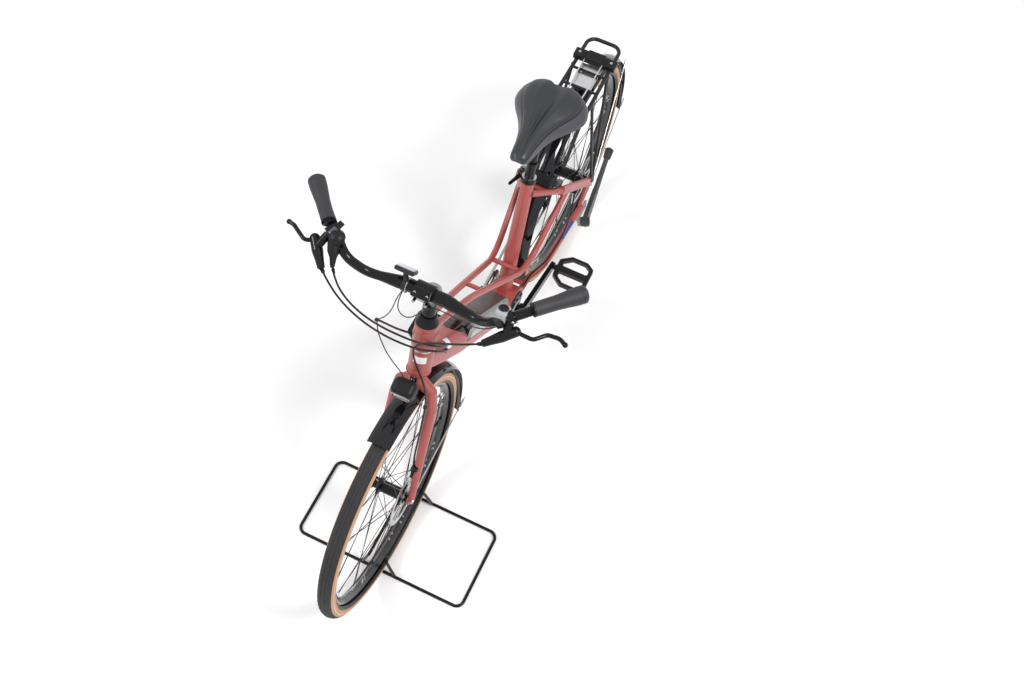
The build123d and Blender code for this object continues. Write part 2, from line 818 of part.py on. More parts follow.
def pedal(side):
    # Platform with a window each side of the axle tube.
    centre = pedal_centre(crank_angle if side > 0 else crank_angle + 180)
    half_x = pedal_length / 2
    half_y = pedal_width / 2
    inner = side * 96
    middle = inner + side * half_y
    outline = [(-0.55, -1), (-1, -0.4), (-1, 0.55), (-0.7, 1), (0.7, 1), (1, 0.55), (1, -0.4), (0.55, -1)]
    points = [(centre.X + x * half_x, middle + side * y * half_y) for x, y in outline]
    plan = fillet(closed(*points).vertices(), 8)
    for way in (-1, 1):
        window = [(0.2, -0.72), (0.2, 0.78), (0.62, 0.78), (0.85, 0.45), (0.85, -0.3), (0.52, -0.72)]
        spots = [(centre.X + way * x * half_x, middle + side * y * half_y) for x, y in window]
        plan -= fillet(closed(*spots).vertices(), 4)
    low = centre.Z - pedal_thickness / 2
    body = extrude(Plane(origin=(0, 0, low)) * plan, amount=pedal_thickness)
    stem_y = (side * 91, side * (96 + pedal_width - 8))
    body += disc_y(centre, 9, min(stem_y), max(stem_y))
    pin_y = (side * 78, side * 100)
    return body + disc_y(centre, side_stand_pin_radius + 0.7, min(pin_y), max(pin_y))


# ---------------------------------------------------------------- drive train
def cassette():
    centre = Vector(0, 0, 0)
    last = cassette_y - cassette_pitch * (len(cassette_teeth) - 1)
    shape = disc_y(centre, 19, last - 1.5, cassette_y + 1)
    for number, teeth in enumerate(cassette_teeth):
        y = cassette_y - cassette_pitch * number
        shape += toothed(centre, teeth, y - 0.9, y + 0.9)
    return shape - disc_y(centre, rear_barrel_radius * 0.8, -80, 0)


guide_pulley = rear_axle + Vector(8, 0, -82)
tension_pulley = rear_axle + Vector(34, 0, -152)


def chain_pins():
    # Pin centres round chainring, sprocket and the two cage pulleys, evenly spaced.
    wheels = [
        (bottom_bracket, pitch_radius(chainring_teeth)),
        (rear_axle, pitch_radius(cassette_teeth[chain_cog])),
        (guide_pulley, -pitch_radius(pulley_teeth)),
        (tension_pulley, pitch_radius(pulley_teeth)),
    ]
    headings = []
    for number, (start, r1) in enumerate(wheels):
        end, r2 = wheels[(number + 1) % len(wheels)]
        across = math.hypot(end.X - start.X, end.Z - start.Z)
        line = math.atan2(end.Z - start.Z, end.X - start.X)
        headings.append(line + math.asin((r1 - r2) / across))
    pieces = []
    for number, (centre, radius) in enumerate(wheels):
        into = headings[number - 1]
        out = headings[number]
        turn = (out - into) % (2 * math.pi) if radius > 0 else -((into - out) % (2 * math.pi))
        pieces.append(("arc", centre, radius, into, turn, abs(radius * turn)))
        follow, next_radius = wheels[(number + 1) % len(wheels)]
        start = (centre.X + radius * math.sin(out), centre.Z - radius * math.cos(out))
        end = (follow.X + next_radius * math.sin(out), follow.Z - next_radius * math.cos(out))
        pieces.append(("run", start, end, out, 0, math.dist(start, end)))
    total = sum(piece[5] for piece in pieces)
    steps = 2 * round(total / chain_pitch)
    result = []
    for number in range(steps):
        left = total * number / steps
        for kind, first, second, third, turn, length in pieces:
            if left <= length:
                break
            left -= length
        if kind == "arc":
            heading = third + turn * left / length
            result.append((first.X + second * math.sin(heading), first.Z - second * math.cos(heading), heading))
        else:
            share = left / length
            x = first[0] + (second[0] - first[0]) * share
            z = first[1] + (second[1] - first[1]) * share
            result.append((x, z, third))
    return result


def chain():
    # One closed loop of links, waisted between the pins.
    outer = []
    inner = []
    for number, (x, z, heading) in enumerate(chain_pins()):
        half = chain_plate_radius if number % 2 == 0 else chain_plate_radius * 0.7
        across = (math.sin(heading), -math.cos(heading))
        outer.append((x + across[0] * half, z + across[1] * half))
        inner.append((x - across[0] * half, z - across[1] * half))
    return upright(closed(*outer) - closed(*inner), chain_y - chain_width / 2, chain_y + chain_width / 2)


def derailleur():
    # Hanger knuckle, parallelogram, and a two-plate cage with its pulleys.
    hanger = rear_axle + Vector(-2, -dropout_half_gap - dropout_thickness - 5, -24)
    plate_gap = chain_width / 2 + 1.2
    shape = Part()
    for side in (-1, 1):
        y = chain_y + side * (plate_gap + 1)
        plate_top = guide_pulley + Vector(0, y, 0)
        plate_low = tension_pulley + Vector(0, y, 0)
        shape += tapered_link(plate_top, plate_low, 13, 12, 2, Vector(0, 1, 0))
    for pulley in (guide_pulley, tension_pulley):
        shape += toothed(pulley, pulley_teeth, chain_y - 1.2, chain_y + 1.2)
        shape += disc_y(pulley, 4, chain_y - plate_gap - 3, chain_y + plate_gap + 3)
    shape += disc_y(guide_pulley, 11, hanger.Y - 6, chain_y - plate_gap - 1)
    shape += tapered_link(hanger, guide_pulley + Vector(2, hanger.Y, 2), 12, 10, 12, Vector(0, 1, 0))
    return shape + disc_y(hanger, 11, hanger.Y - 8, hanger.Y + 8)


# ---------------------------------------------------------------- seat and rear
def seatpost():
    ring_at = seat_tube_top + seat_up * seatpost_exposed
    tube = rod(on_seat_line(seat_tube_top_z - 130), ring_at, seatpost_radius)
    ring = rod(ring_at, ring_at + seat_up * 6, seatpost_radius + 2.2)
    piston = rod(ring_at, seatpost_top, piston_radius)
    head = block(seatpost_top + Vector(4, 0, 8), (48, 40, 18), 4)
    return tube + ring + piston + head


def seat_clamp():
    low = seat_tube_top - seat_up * 4
    ring = rod(low, low + seat_up * 14, seat_tube_radius + 3.5)
    ring -= rod(low - seat_up, low + seat_up * 20, seatpost_radius)
    pivot = low + seat_up * 8 + Vector(-4, -(seat_tube_radius + 6), 0)
    lever = tapered_link(pivot, pivot + Vector(40, -12, 6), 6, 4, 5, Vector(0.2, 0.3, 1))
    barrel = rod(pivot + Vector(2, 4, 0), pivot + Vector(-4, -8, 0), 6)
    return ring + lever + barrel


saddle_base = saddle_clamp_height + saddle_drop
# Stations from tail to nose: distance ahead of the clamp, half width, crown height, skirt height.
saddle_stations = [
    (-121, 50, 22, 4),
    (-110, 76, 34, 0),
    (-84, 94, 41, -2),
    (-52, 96, 42, -2),
    (-16, 76, 40, 0),
    (28, 47, 37, 2),
    (76, 33, 34, 5),
    (118, 27, 29, 8),
    (137, 18, 22, 10),
]


def saddle():
    # Crowned shell with a channel down the middle and a side panel that leans out below its seam.
    faces = []
    for ahead, half, crown, skirt in saddle_stations:
        top = saddle_base + crown
        seam = saddle_base + skirt + 14
        foot = saddle_base + skirt - 12
        channel = 9 if ahead < 60 else 3
        curve = Spline(
            (-half * 0.9, seam),
            (-half * 0.8, (seam + 2 * top) / 3),
            (-half * 0.45, top),
            (0, top - channel),
            (half * 0.45, top),
            (half * 0.8, (seam + 2 * top) / 3),
            (half * 0.9, seam),
        )
        rest = Polyline(
            (half * 0.9, seam),
            (half, foot + 7),
            (half * 0.88, foot),
            (-half * 0.88, foot),
            (-half, foot + 7),
            (-half * 0.9, seam),
        )
        plane = Plane(origin=(seatpost_top.X + ahead, 0, 0), x_dir=(0, 1, 0), z_dir=(1, 0, 0))
        faces.append(plane * make_face(curve + rest))
    return loft(faces)


def saddle_rails():
    shapes = []
    seat = seatpost_top
    for side in (-1, 1):
        route = [
            Vector(seat.X + 104, side * 10, saddle_base + 2),
            Vector(seat.X + 50, side * 21, seat.Z + 17),
            Vector(seat.X - 42, side * 21, seat.Z + 17),
            Vector(seat.X - 92, side * 32, saddle_base + 2),
        ]
        shapes.append(bent_tube(route, [20, 20], 3.5))
    return shapes


def rack():
    z = rack_height
    tail = rear_x - rack_tail
    front = rear_x + 110
    loop = [
        Vector(front + 96, rack_half_width, z - 78),
        Vector(front, rack_half_width, z),
        Vector(tail, rack_half_width - 4, z - 6),
        Vector(tail, 0, z - 6),
    ]
    half = bent_tube(loop, [40, 26], rack_tube_radius)
    foot_y = dropout_half_gap + dropout_thickness + 4.5
    strut_a = rod(Vector(rear_x + 30, rack_half_width, z), rear_axle + Vector(10, foot_y, 26), 4.5)
    strut_b = rod(Vector(rear_x - 75, rack_half_width, z - 2), rear_axle + Vector(2, foot_y, 24), 4.5)
    foot = disc_y(rear_axle + Vector(6, 0, 25), 8, foot_y - 4.5, foot_y + 4.5)
    shape = left_right(half + strut_a + strut_b + foot)
    for x in (70, -2, -62):
        shape += rod(Vector(rear_x + x, -rack_half_width, z), Vector(rear_x + x, rack_half_width, z), 4)
    return shape


def rack_spring():
    # Sprung clip of two wires over the deck, with its guard plate behind.
    z = rack_height + 9
    route = [
        Vector(rear_x - rack_block_x + 14, 26, z - 2),
        Vector(rear_x - 40, 26, z + 2),
        Vector(rear_x + 58, 22, z),
        Vector(rear_x + 62, 0, z),
    ]
    wire = bent_tube(route, [60, 8], 2)
    plate = block(Vector(rear_x - 52, 0, rack_height - 7), (80, 60, 3), 1)
    hooks = rod(Vector(rear_x - 62, 20, rack_height - 7), Vector(rear_x - 62, 20, rack_height), 3)
    return left_right(wire + hooks) + plate


def rack_block():
    # Tail bridge moulded round both rails, stepped at the ends.
    middle = Vector(rear_x - rack_block_x, 0, rack_height + 1)
    body = block(middle, (30, 2 * rack_half_width + 20, 20), 4)
    body += block(middle + Vector(0, 0, 4), (36, rack_half_width, 16), 3)
    arch = disc_y(middle + Vector(0, 0, -12), 6, -40, 40)
    return body - arch


def rear_light():
    centre = Vector(rear_x - rack_block_x - 22, 0, rack_height - 26)
    body = block(centre, (20, 104, 30), 7)
    return body + block(centre + Vector(12, 0, 14), (30, 24, 8), 2)


lock_angle = 50.0


def lock_face(shape, thickness, offset=0.0):
    turn = math.radians(lock_angle)
    normal = Vector(-math.sin(turn), 0, math.cos(turn))
    plane = Plane(origin=rear_axle + normal * offset, x_dir=(math.cos(turn), 0, math.sin(turn)), z_dir=normal)
    return extrude(plane * shape, amount=thickness / 2, both=True)


def ring_lock():
    # Horseshoe round tyre and fender, with the lock case across its top.
    reach = fender_outer_radius
    outer = Pos(reach - 14, 0) * RectangleRounded(112, 116, 34)
    inner = Pos(reach - 30, 0) * RectangleRounded(108, 82, 26)
    mouth = Pos(reach - 76, 0) * Rectangle(44, 90)
    arms = lock_face(outer - inner - mouth, 18)
    case = lock_face(Pos(reach + 28, 4) * RectangleRounded(34, 84, 8), 30)
    barrel = lock_face(Pos(reach + 18, 40) * Circle(9), 44)
    return arms + case + barrel


def rear_caliper():
    body = block(rear_axle + Vector(72, 56, 72), (54, 20, 30), 5, (0, 50, 0))
    return body + disc_y(rear_axle + Vector(70, 0, 74), 11, 44, 70)


def front_caliper():
    body = block(front_axle + Vector(-52, 51, 92), (30, 20, 52), 5, (0, -20, 0))
    return body + disc_y(front_axle + Vector(-52, 0, 92), 10, 38, 62)


# ---------------------------------------------------------------- side stand
stand_pivot = rear_axle + Vector(62, 96, -114)
stand_hinge = Vector(-0.3, 1, 0.25).normalized()
stand_way = Vector(-229, -26, 62).normalized()


def stand_bracket():
    # Cast mount bolted below the dropout, with the hinge lug and pin.
    plate = block(stand_pivot + Vector(-10, -19.5, 34), (64, 7, 34), 3)
    lug = rod(stand_pivot - stand_hinge * 21, stand_pivot - stand_hinge * 12.5, 14)
    web = rod(stand_pivot - stand_hinge * 20, stand_pivot + Vector(-4, -25, 26), 5.5)
    pin = rod(stand_pivot - stand_hinge * 14, stand_pivot + stand_hinge * 16, side_stand_pin_radius)
    head = rod(stand_pivot + stand_hinge * 13.5, stand_pivot + stand_hinge * 16, 6.5)
    return plate + lug + web + pin + head


def stand_leg():
    # Wide flat upper blade that runs out into a round leg.
    eye = rod(stand_pivot - stand_hinge * 12, stand_pivot + stand_hinge * 12, 15)
    share = side_stand_length * 0.48
    facing = stand_hinge - stand_way * stand_way.dot(stand_hinge)
    blade = tapered_link(stand_pivot, stand_pivot + stand_way * share, 16, 10.5, 14, facing)
    shank = rod(stand_pivot + stand_way * (share - 6), stand_pivot + stand_way * side_stand_length, 8.8, 7.6)
    bore = rod(stand_pivot - stand_hinge * 20, stand_pivot + stand_hinge * 20, side_stand_pin_radius + axle_play)
    return eye + blade + shank - bore


def stand_foot():
    start = stand_pivot + stand_way * side_stand_length
    length = side_stand_foot_length
    return turned(start, stand_way, (0, 8.6), (4, 11.5), (length * 0.7, 12.8), (length - 5, 13), (length, 10))


# ---------------------------------------------------------------- hoses and wires
def cord(points, label, radius):
    # Straight runs joined by arcs as large as each pair of runs allows.
    radii = []
    for number in range(1, len(points) - 1):
        back = points[number] - points[number - 1]
        ahead = points[number + 1] - points[number]
        half = math.radians(back.get_angle(ahead)) / 2
        radii.append(0.45 * min(back.length, ahead.length) / math.tan(half))
    print(label, "tightest bend", round(min(radii), 1))
    return bent_tube(points, radii, radius)


def at_rear(x, y, z):
    return Vector(rear_x + x, y, z)


front_hose_route = [
    left_hose_end,
    at_rear(968, 140, 1032),
    at_rear(965, 108, 1000),
    at_rear(961, 74, 966),
    at_rear(957, 40, 933),
    at_rear(956, 12, 905),
    at_rear(960, -4, 872),
    at_rear(970, 4, 838),
    at_rear(982, 24, 806),
    at_rear(990, 40, 764),
    at_rear(993, 43, 712),
    at_rear(999, 41, 656),
    at_rear(1023, 41, 596),
    at_rear(1046, 41, 540),
    at_rear(1062, 40, 502),
    at_rear(1071, 41, 464),
]
gear_cable_route = [
    flip(right_cable_start),
    at_rear(954, -192, 1026),
    at_rear(957, -176, 982),
    at_rear(957, -150, 942),
    at_rear(955, -116, 912),
    at_rear(952, -78, 894),
    at_rear(949, -40, 886),
    at_rear(944, -4, 878),
    at_rear(930, 26, 862),
]
rear_hose_route = [
    flip(right_hose_end),
    at_rear(965, -204, 1026),
    at_rear(967, -182, 978),
    at_rear(967, -152, 936),
    at_rear(966, -114, 904),
    at_rear(964, -72, 884),
    at_rear(960, -32, 874),
    at_rear(954, 6, 868),
    at_rear(938, 36, 856),
]
stay_hose_route = [
    at_rear(388, 36, 306),
    at_rear(352, 38, 305),
    at_rear(318, 48, 306),
    at_rear(284, 62, 309),
    at_rear(240, 68, 314),
    at_rear(190, 70, 318),
    at_rear(140, 68, 330),
    at_rear(104, 62, 358),
    at_rear(88, 58, 392),
]


# ---------------------------------------------------------------- write the nodes
def give_way(shapes, pairs):
    # Each first piece is shaped to fit round the others, so that they meet face to face.
    for piece, others in pairs.items():
        for other in others:
            shapes[piece] = shapes[piece] - shapes[other]


def main():
    os.makedirs("parts", exist_ok=True)
    stay_y = fork_half_gap + 11
    rear_stay_y = dropout_half_gap + dropout_thickness + 3
    stay_bridge = rod(flip(bridge_at), bridge_at, 7)
    bridge_angle = math.degrees(math.atan2(bridge_at.Z - axle_z, bridge_at.X - rear_x))
    bridge_reach = math.hypot(bridge_at.X - rear_x, bridge_at.Z - axle_z) - fender_outer_radius
    rear_fender = fender(rear_axle, -4, 192) + fender_pad(rear_axle, bridge_angle, bridge_reach)
    rear_fender += rod(on_wheel(rear_axle, -3, fender_outer_radius - 1.5), bottom_bracket + Vector(-82, 0, 0), 5)
    crown_angle = math.degrees(math.atan2(crown_race.Z - axle_z, crown_race.X - front_axle.X))
    front_fender = fender(front_axle, 86, 202) + fender_pad(front_axle, crown_angle, 8)
    shapes = {
        "head_tube": head_tube(),
        "down_tube": down_tube() + motor_shell(),
        "seat_tube": seat_tube(),
        "twin_tubes": left_right(twin_tube()) + frame_bridges() - head_envelope(),
        "seat_stays": left_right(seat_stay()) + stay_bridge - rod(on_seat_line(500), seat_tube_top, seat_tube_radius + 1),
        "chain_stays": left_right(chain_stay() + dropout()),
        "motor": motor(),
        "battery": battery(),
        "rear_fender": rear_fender,
        "rear_fender_stays": left_right(
            fender_stay(rear_axle, 187, rear_axle + Vector(-8, rear_stay_y, 4))
            + fender_stay(rear_axle, 148, rear_axle + Vector(-8, rear_stay_y, 4))
        ),
        "rack": rack() + rack_spring(),
        "rack_block": rack_block(),
        "rear_light": rear_light(),
        "ring_lock": ring_lock(),
        "seatpost": seatpost(),
        "seat_clamp": seat_clamp(),
        "saddle": saddle(),
        "saddle_rails": Part() + saddle_rails(),
        "rear_caliper": rear_caliper(),
        "derailleur": derailleur(),
        "chain": chain(),
        "stand_bracket": stand_bracket(),
        "rear_brake_hose": cord(stay_hose_route, "rear_brake_hose", hose_radius),
        "fork": fork(),
        "lower_headset": lower_headset(),
        "headset_cover": headset_cover(),
        "stem": stem(),
        "stem_cap": stem_cap(),
        "handlebar": handlebar(),
        "grip_left": grip(),
        "grip_right": mirrored(grip()),
        "brake_lever_left": brake_lever(0.42, left_hose_end, left_knuckle, left_blade),
        "brake_lever_right": mirrored(brake_lever(0.78, right_hose_end, right_knuckle, right_blade)),
        "shifter": mirrored(shifter() + bell()),
        "display": display() + bar_pod(0.08),
        "headlight": headlight(),
        "front_brake_hose": cord(front_hose_route, "front_brake_hose", hose_radius),
        "bar_cables": cord(gear_cable_route, "gear cable", hose_radius) + cord(rear_hose_route, "rear hose", hose_radius),
        "front_fender": front_fender,
        "front_fender_stays": left_right(fender_stay(front_axle, 196, front_axle + Vector(-8, stay_y, 16))),
        "front_caliper": front_caliper(),
        "display_stand": display_stand(),
        "front_tyre": place(tyre(), front_axle),
        "front_rim": place(rim(), front_axle),
        "front_hub": place(
            hub(fork_half_gap, front_flange_y, front_flange_radius, front_barrel_radius, fork_half_gap + 12), front_axle
        ),
        "front_rotor": place(rotor(front_rotor_y), front_axle),
        "rear_tyre": place(tyre(), rear_axle),
        "rear_rim": place(rim(), rear_axle),
        "rear_hub": place(
            hub(dropout_half_gap, rear_flange_y, rear_flange_radius, rear_barrel_radius, dropout_half_gap + 12), rear_axle
        ),
        "rear_rotor": place(rotor(rear_rotor_y), rear_axle),
        "cassette": place(cassette(), rear_axle),
        "crankset": crankset(),
        "chainring": chainring(),
        "pedal_left": pedal(1),
        "pedal_right": pedal(-1),
        "side_stand_leg": stand_leg(),
        "side_stand_foot": stand_foot(),
    }
    give_way(
        shapes,
        {
            "down_tube": ["motor", "head_tube"],
            "seat_tube": ["motor", "down_tube"],
            "battery": ["down_tube"],
            "chain_stays": ["motor", "seat_tube", "down_tube"],
            "seat_stays": ["chain_stays", "seat_tube"],
            "twin_tubes": ["seat_stays", "seat_tube"],
            "chainring": ["crankset"],
            "derailleur": ["chain_stays", "chain"],
            "front_caliper": ["fork", "front_brake_hose"],
            "headlight": ["fork"],
            "front_fender": ["fork"],
            "rear_fender": ["seat_stays", "chain_stays"],
            "front_fender_stays": ["fork", "front_fender"],
            "rear_fender_stays": ["chain_stays", "rear_fender", "rack"],
            "grip_left": ["handlebar"],
            "grip_right": ["handlebar"],
            "stem": ["handlebar", "stem_cap"],
            "brake_lever_left": ["handlebar", "front_brake_hose"],
            "brake_lever_right": ["handlebar", "bar_cables"],
            "shifter": ["handlebar", "brake_lever_right", "bar_cables"],
            "display": ["handlebar", "brake_lever_left"],
            "rack_block": ["rack"],
            "rack": ["chain_stays", "seat_stays"],
            "rear_light": ["rack_block", "rack"],
            "ring_lock": ["seat_stays", "rear_fender"],
            "seatpost": ["saddle_rails"],
            "saddle": ["saddle_rails", "seatpost"],
            "seat_clamp": ["seat_tube"],
            "rear_caliper": ["chain_stays", "seat_stays", "rear_brake_hose"],
            "stand_bracket": ["chain_stays"],
        },
    )
    for name, shape in shapes.items():
        save(name, shape)
    save("front_spokes", Compound(children=[place(s, front_axle) for s in spokes(front_flange_y, front_flange_radius)]))
    save("rear_spokes", Compound(children=[place(s, rear_axle) for s in spokes(rear_flange_y, rear_flange_radius)]))


main()
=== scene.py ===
import bpy
import json
import math
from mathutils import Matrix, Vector


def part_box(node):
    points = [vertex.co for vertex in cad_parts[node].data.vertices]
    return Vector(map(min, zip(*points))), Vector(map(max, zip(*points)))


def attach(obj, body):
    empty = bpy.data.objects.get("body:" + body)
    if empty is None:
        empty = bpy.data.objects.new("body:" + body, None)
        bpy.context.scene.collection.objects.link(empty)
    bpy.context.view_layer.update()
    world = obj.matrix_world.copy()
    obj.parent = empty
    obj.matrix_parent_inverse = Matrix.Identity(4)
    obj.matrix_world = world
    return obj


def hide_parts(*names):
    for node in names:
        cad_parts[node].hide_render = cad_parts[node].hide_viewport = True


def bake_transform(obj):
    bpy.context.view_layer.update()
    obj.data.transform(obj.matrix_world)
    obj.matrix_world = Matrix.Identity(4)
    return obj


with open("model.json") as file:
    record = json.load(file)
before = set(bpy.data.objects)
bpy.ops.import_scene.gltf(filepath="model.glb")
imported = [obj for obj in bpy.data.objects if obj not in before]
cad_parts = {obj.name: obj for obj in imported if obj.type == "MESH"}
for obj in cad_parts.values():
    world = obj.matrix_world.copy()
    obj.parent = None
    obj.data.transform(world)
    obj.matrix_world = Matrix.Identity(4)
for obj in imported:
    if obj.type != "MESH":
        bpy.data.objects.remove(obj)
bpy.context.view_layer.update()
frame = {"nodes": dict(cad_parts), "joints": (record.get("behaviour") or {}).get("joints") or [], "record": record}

# Step-through electric bicycle held in a wire display stand, in metres.
# +X is the riding direction, +Y the rider's left, +Z up.

# ------------------------------------------------ key places, read from the frame
joint_of = {joint["name"]: joint for joint in frame["joints"]}
rear_axle = Vector(joint_of["rear_wheel_spin"]["pos_m"])
front_axle = Vector(joint_of["front_wheel_spin"]["pos_m"])
crank_axle = Vector(joint_of["crank_spin"]["pos_m"])
stand_pivot = Vector(joint_of["side_stand_fold"]["pos_m"])
crown_race = Vector(joint_of["steering_turn"]["pos_m"])
head_up = Vector(joint_of["steering_turn"]["axis"]).normalized()
head_forward = Vector((head_up.z, 0, -head_up.x))
origin = Vector((0, 0, 0))
forward = Vector((1, 0, 0))
left = Vector((0, 1, 0))
up = Vector((0, 0, 1))

wheel_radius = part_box("front_tyre")[1][0] - front_axle.x
tyre_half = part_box("front_tyre")[1][1]
rim_inner = 0.299
rim_outer = 0.316
hose_radius = 0.0025


def at(x, y, z):
    # Millimetres ahead of the rear axle, to the left, and above the ground.
    return Vector((rear_axle.x + x / 1000, y / 1000, z / 1000))


rack_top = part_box("rack")[1][2]
down_start = at(933, 0, 780)
down_axis = (at(507, 0, 334) - down_start).normalized()
down_up = Vector((down_axis.z, 0, -down_axis.x))
bar_centre = at(894, 0, 1034)
seat_angle = math.radians(72.5)
seat_up = Vector((-math.cos(seat_angle), 0, math.sin(seat_angle)))
seat_tube_top = at(323.3, 0, 735)


# ------------------------------------------------ materials
def new_material(name):
    material = bpy.data.materials.new(name)
    material.use_nodes = True
    tree = material.node_tree
    return material, tree, tree.nodes["Principled BSDF"]


def object_place(tree):
    node = tree.nodes.get("Place")
    if node is None:
        node = tree.nodes.new("ShaderNodeTexCoord")
        node.name = "Place"
    return node.outputs["Object"]


def noise(tree, scale, detail=4.0):
    node = tree.nodes.new("ShaderNodeTexNoise")
    node.inputs["Scale"].default_value = scale
    node.inputs["Detail"].default_value = detail
    tree.links.new(object_place(tree), node.inputs["Vector"])
    return node.outputs["Fac"]


def cells(tree, scale):
    node = tree.nodes.new("ShaderNodeTexVoronoi")
    node.inputs["Scale"].default_value = scale
    tree.links.new(object_place(tree), node.inputs["Vector"])
    return node.outputs["Distance"]


def ramp(tree, value, stops):
    node = tree.nodes.new("ShaderNodeValToRGB")
    while len(node.color_ramp.elements) < len(stops):
        node.color_ramp.elements.new(0.5)
    for element, (place, colour) in zip(node.color_ramp.elements, stops):
        element.position = place
        element.color = (*colour, 1.0)
    tree.links.new(value, node.inputs["Fac"])
    return node.outputs["Color"]


def blotched(tree, scale, detail, dark, light):
    # Soft patches that run from a darker colour to a lighter one.
    return ramp(tree, noise(tree, scale, detail), [(0.3, dark), (0.7, light)])


def spread(tree, value, low, high):
    node = tree.nodes.new("ShaderNodeMapRange")
    node.inputs["To Min"].default_value = low
    node.inputs["To Max"].default_value = high
    tree.links.new(value, node.inputs["Value"])
    return node.outputs["Result"]


def maths(tree, operation, first, second=0.0):
    node = tree.nodes.new("ShaderNodeMath")
    node.operation = operation
    for socket, value in zip(node.inputs, (first, second)):
        if isinstance(value, (int, float)):
            socket.default_value = value
        else:
            tree.links.new(value, socket)
    return node.outputs["Value"]


def along(tree, start, axis):
    # Distance of a point past start, measured along an axis.
    node = tree.nodes.new("ShaderNodeVectorMath")
    node.operation = "DOT_PRODUCT"
    tree.links.new(object_place(tree), node.inputs[0])
    node.inputs[1].default_value = axis
    return maths(tree, "SUBTRACT", node.outputs["Value"], start.dot(axis))


def between(tree, value, low, high):
    return both(tree, maths(tree, "GREATER_THAN", value, low), maths(tree, "LESS_THAN", value, high))


def mixed(tree, mask, first, second):
    node = tree.nodes.new("ShaderNodeMix")
    node.data_type = "RGBA"
    tree.links.new(mask, node.inputs["Factor"])
    for socket, value in ((node.inputs[6], first), (node.inputs[7], second)):
        if isinstance(value, tuple):
            socket.default_value = (*value, 1.0)
        else:
            tree.links.new(value, socket)
    return node.outputs[2]


def both(tree, first, second):
    return maths(tree, "MULTIPLY", first, second)


def paint(tree, shader, colour):
    tree.links.new(colour, shader.inputs["Base Color"])


def gloss(tree, shader, scale, detail, low, high):
    # Roughness that wanders between two values.
    tree.links.new(spread(tree, noise(tree, scale, detail), low, high), shader.inputs["Roughness"])


def bump(tree, shader, height, strength, distance):
    node = tree.nodes.new("ShaderNodeBump")
    node.inputs["Strength"].default_value = strength
    node.inputs["Distance"].default_value = distance
    tree.links.new(height, node.inputs["Height"])
    tree.links.new(node.outputs["Normal"], shader.inputs["Normal"])


def shade(colour, factor):
    return tuple(min(1.0, channel * factor) for channel in colour)


def lacquer(shader, weight, roughness):
    shader.inputs["Coat Weight"].default_value = weight
    shader.inputs["Coat Roughness"].default_value = roughness


DUST = (0.55, 0.54, 0.52)


def coated(name, colour, roughness, grain, depth, coat=0.0, blotch=0.1, specular=0.5):
    # Paint or plastic: slight colour drift, fine dust, uneven gloss and a skin texture.
    material, tree, shader = new_material(name)
    tint = blotched(tree, 14.0, 3.0, shade(colour, 1 - blotch), shade(colour, 1 + blotch))
    specks = ramp(tree, noise(tree, 420.0, 8.0), [(0.6, (0, 0, 0)), (0.85, (0.05, 0.05, 0.05))])
    paint(tree, shader, mixed(tree, specks, tint, DUST))
    gloss(tree, shader, 60.0, 5.0, roughness * 0.8, roughness * 1.25)
    shader.inputs["Specular IOR Level"].default_value = specular
    lacquer(shader, coat, 0.12)
    bump(tree, shader, noise(tree, grain, 3.0), depth, 0.0004)
    return material


def grained(name, colour, roughness, scale, depth, specular=0.3):
    # Rubber or vinyl with a pebbled skin.
    material, tree, shader = new_material(name)
    pebbles = cells(tree, scale)
    tint = ramp(tree, pebbles, [(0.0, shade(colour, 0.75)), (0.6, shade(colour, 1.15))])
    drift = ramp(tree, noise(tree, 9.0, 3.0), [(0.35, shade(colour, 0.85)), (0.65, shade(colour, 1.2))])
    half = tree.nodes.new("ShaderNodeValue")
    half.outputs[0].default_value = 0.5
    paint(tree, shader, mixed(tree, half.outputs[0], tint, drift))
    gloss(tree, shader, 40.0, 4.0, roughness * 0.85, roughness * 1.15)
    shader.inputs["Specular IOR Level"].default_value = specular
    bump(tree, shader, pebbles, depth, 0.0005)
    return material


def brushed(name, colour, roughness):
    # Metal with fine turning or drawing marks and small stains.
    material, tree, shader = new_material(name)
    place = tree.nodes.new("ShaderNodeMapping")
    place.inputs["Scale"].default_value = (60, 900, 60)
    tree.links.new(object_place(tree), place.inputs["Vector"])
    marks = tree.nodes.new("ShaderNodeTexNoise")
    marks.inputs["Scale"].default_value = 8.0
    tree.links.new(place.outputs["Vector"], marks.inputs["Vector"])
    stain = ramp(tree, noise(tree, 22.0, 5.0), [(0.35, shade(colour, 0.8)), (0.7, shade(colour, 1.08))])
    paint(tree, shader, stain)
    uneven = spread(tree, marks.outputs["Fac"], roughness * 0.7, roughness * 1.4)
    tree.links.new(uneven, shader.inputs["Roughness"])
    shader.inputs["Metallic"].default_value = 1.0
    bump(tree, shader, marks.outputs["Fac"], 0.12, 0.0003)
    return material


def glass(name, colour):
    # Lens or screen: clear coat over a faintly dimpled tint; on the screen that pale tint is a painted reflection.
    material, tree, shader = new_material(name)
    tint = blotched(tree, 30.0, 2.0, shade(colour, 0.85), shade(colour, 1.15))
    paint(tree, shader, tint)
    gloss(tree, shader, 150.0, 4.0, 0.05, 0.15)
    lacquer(shader, 1.0, 0.03)
    bump(tree, shader, cells(tree, 450.0), 0.15, 0.0006)
    return material


coral = (0.345, 0.062, 0.052)
battery_grey = (0.2, 0.2, 0.19)
battery_dark = (0.055, 0.046, 0.045)
band_blue = (0.015, 0.035, 0.2)
spine_half = 0.029
nose_end = 0.238


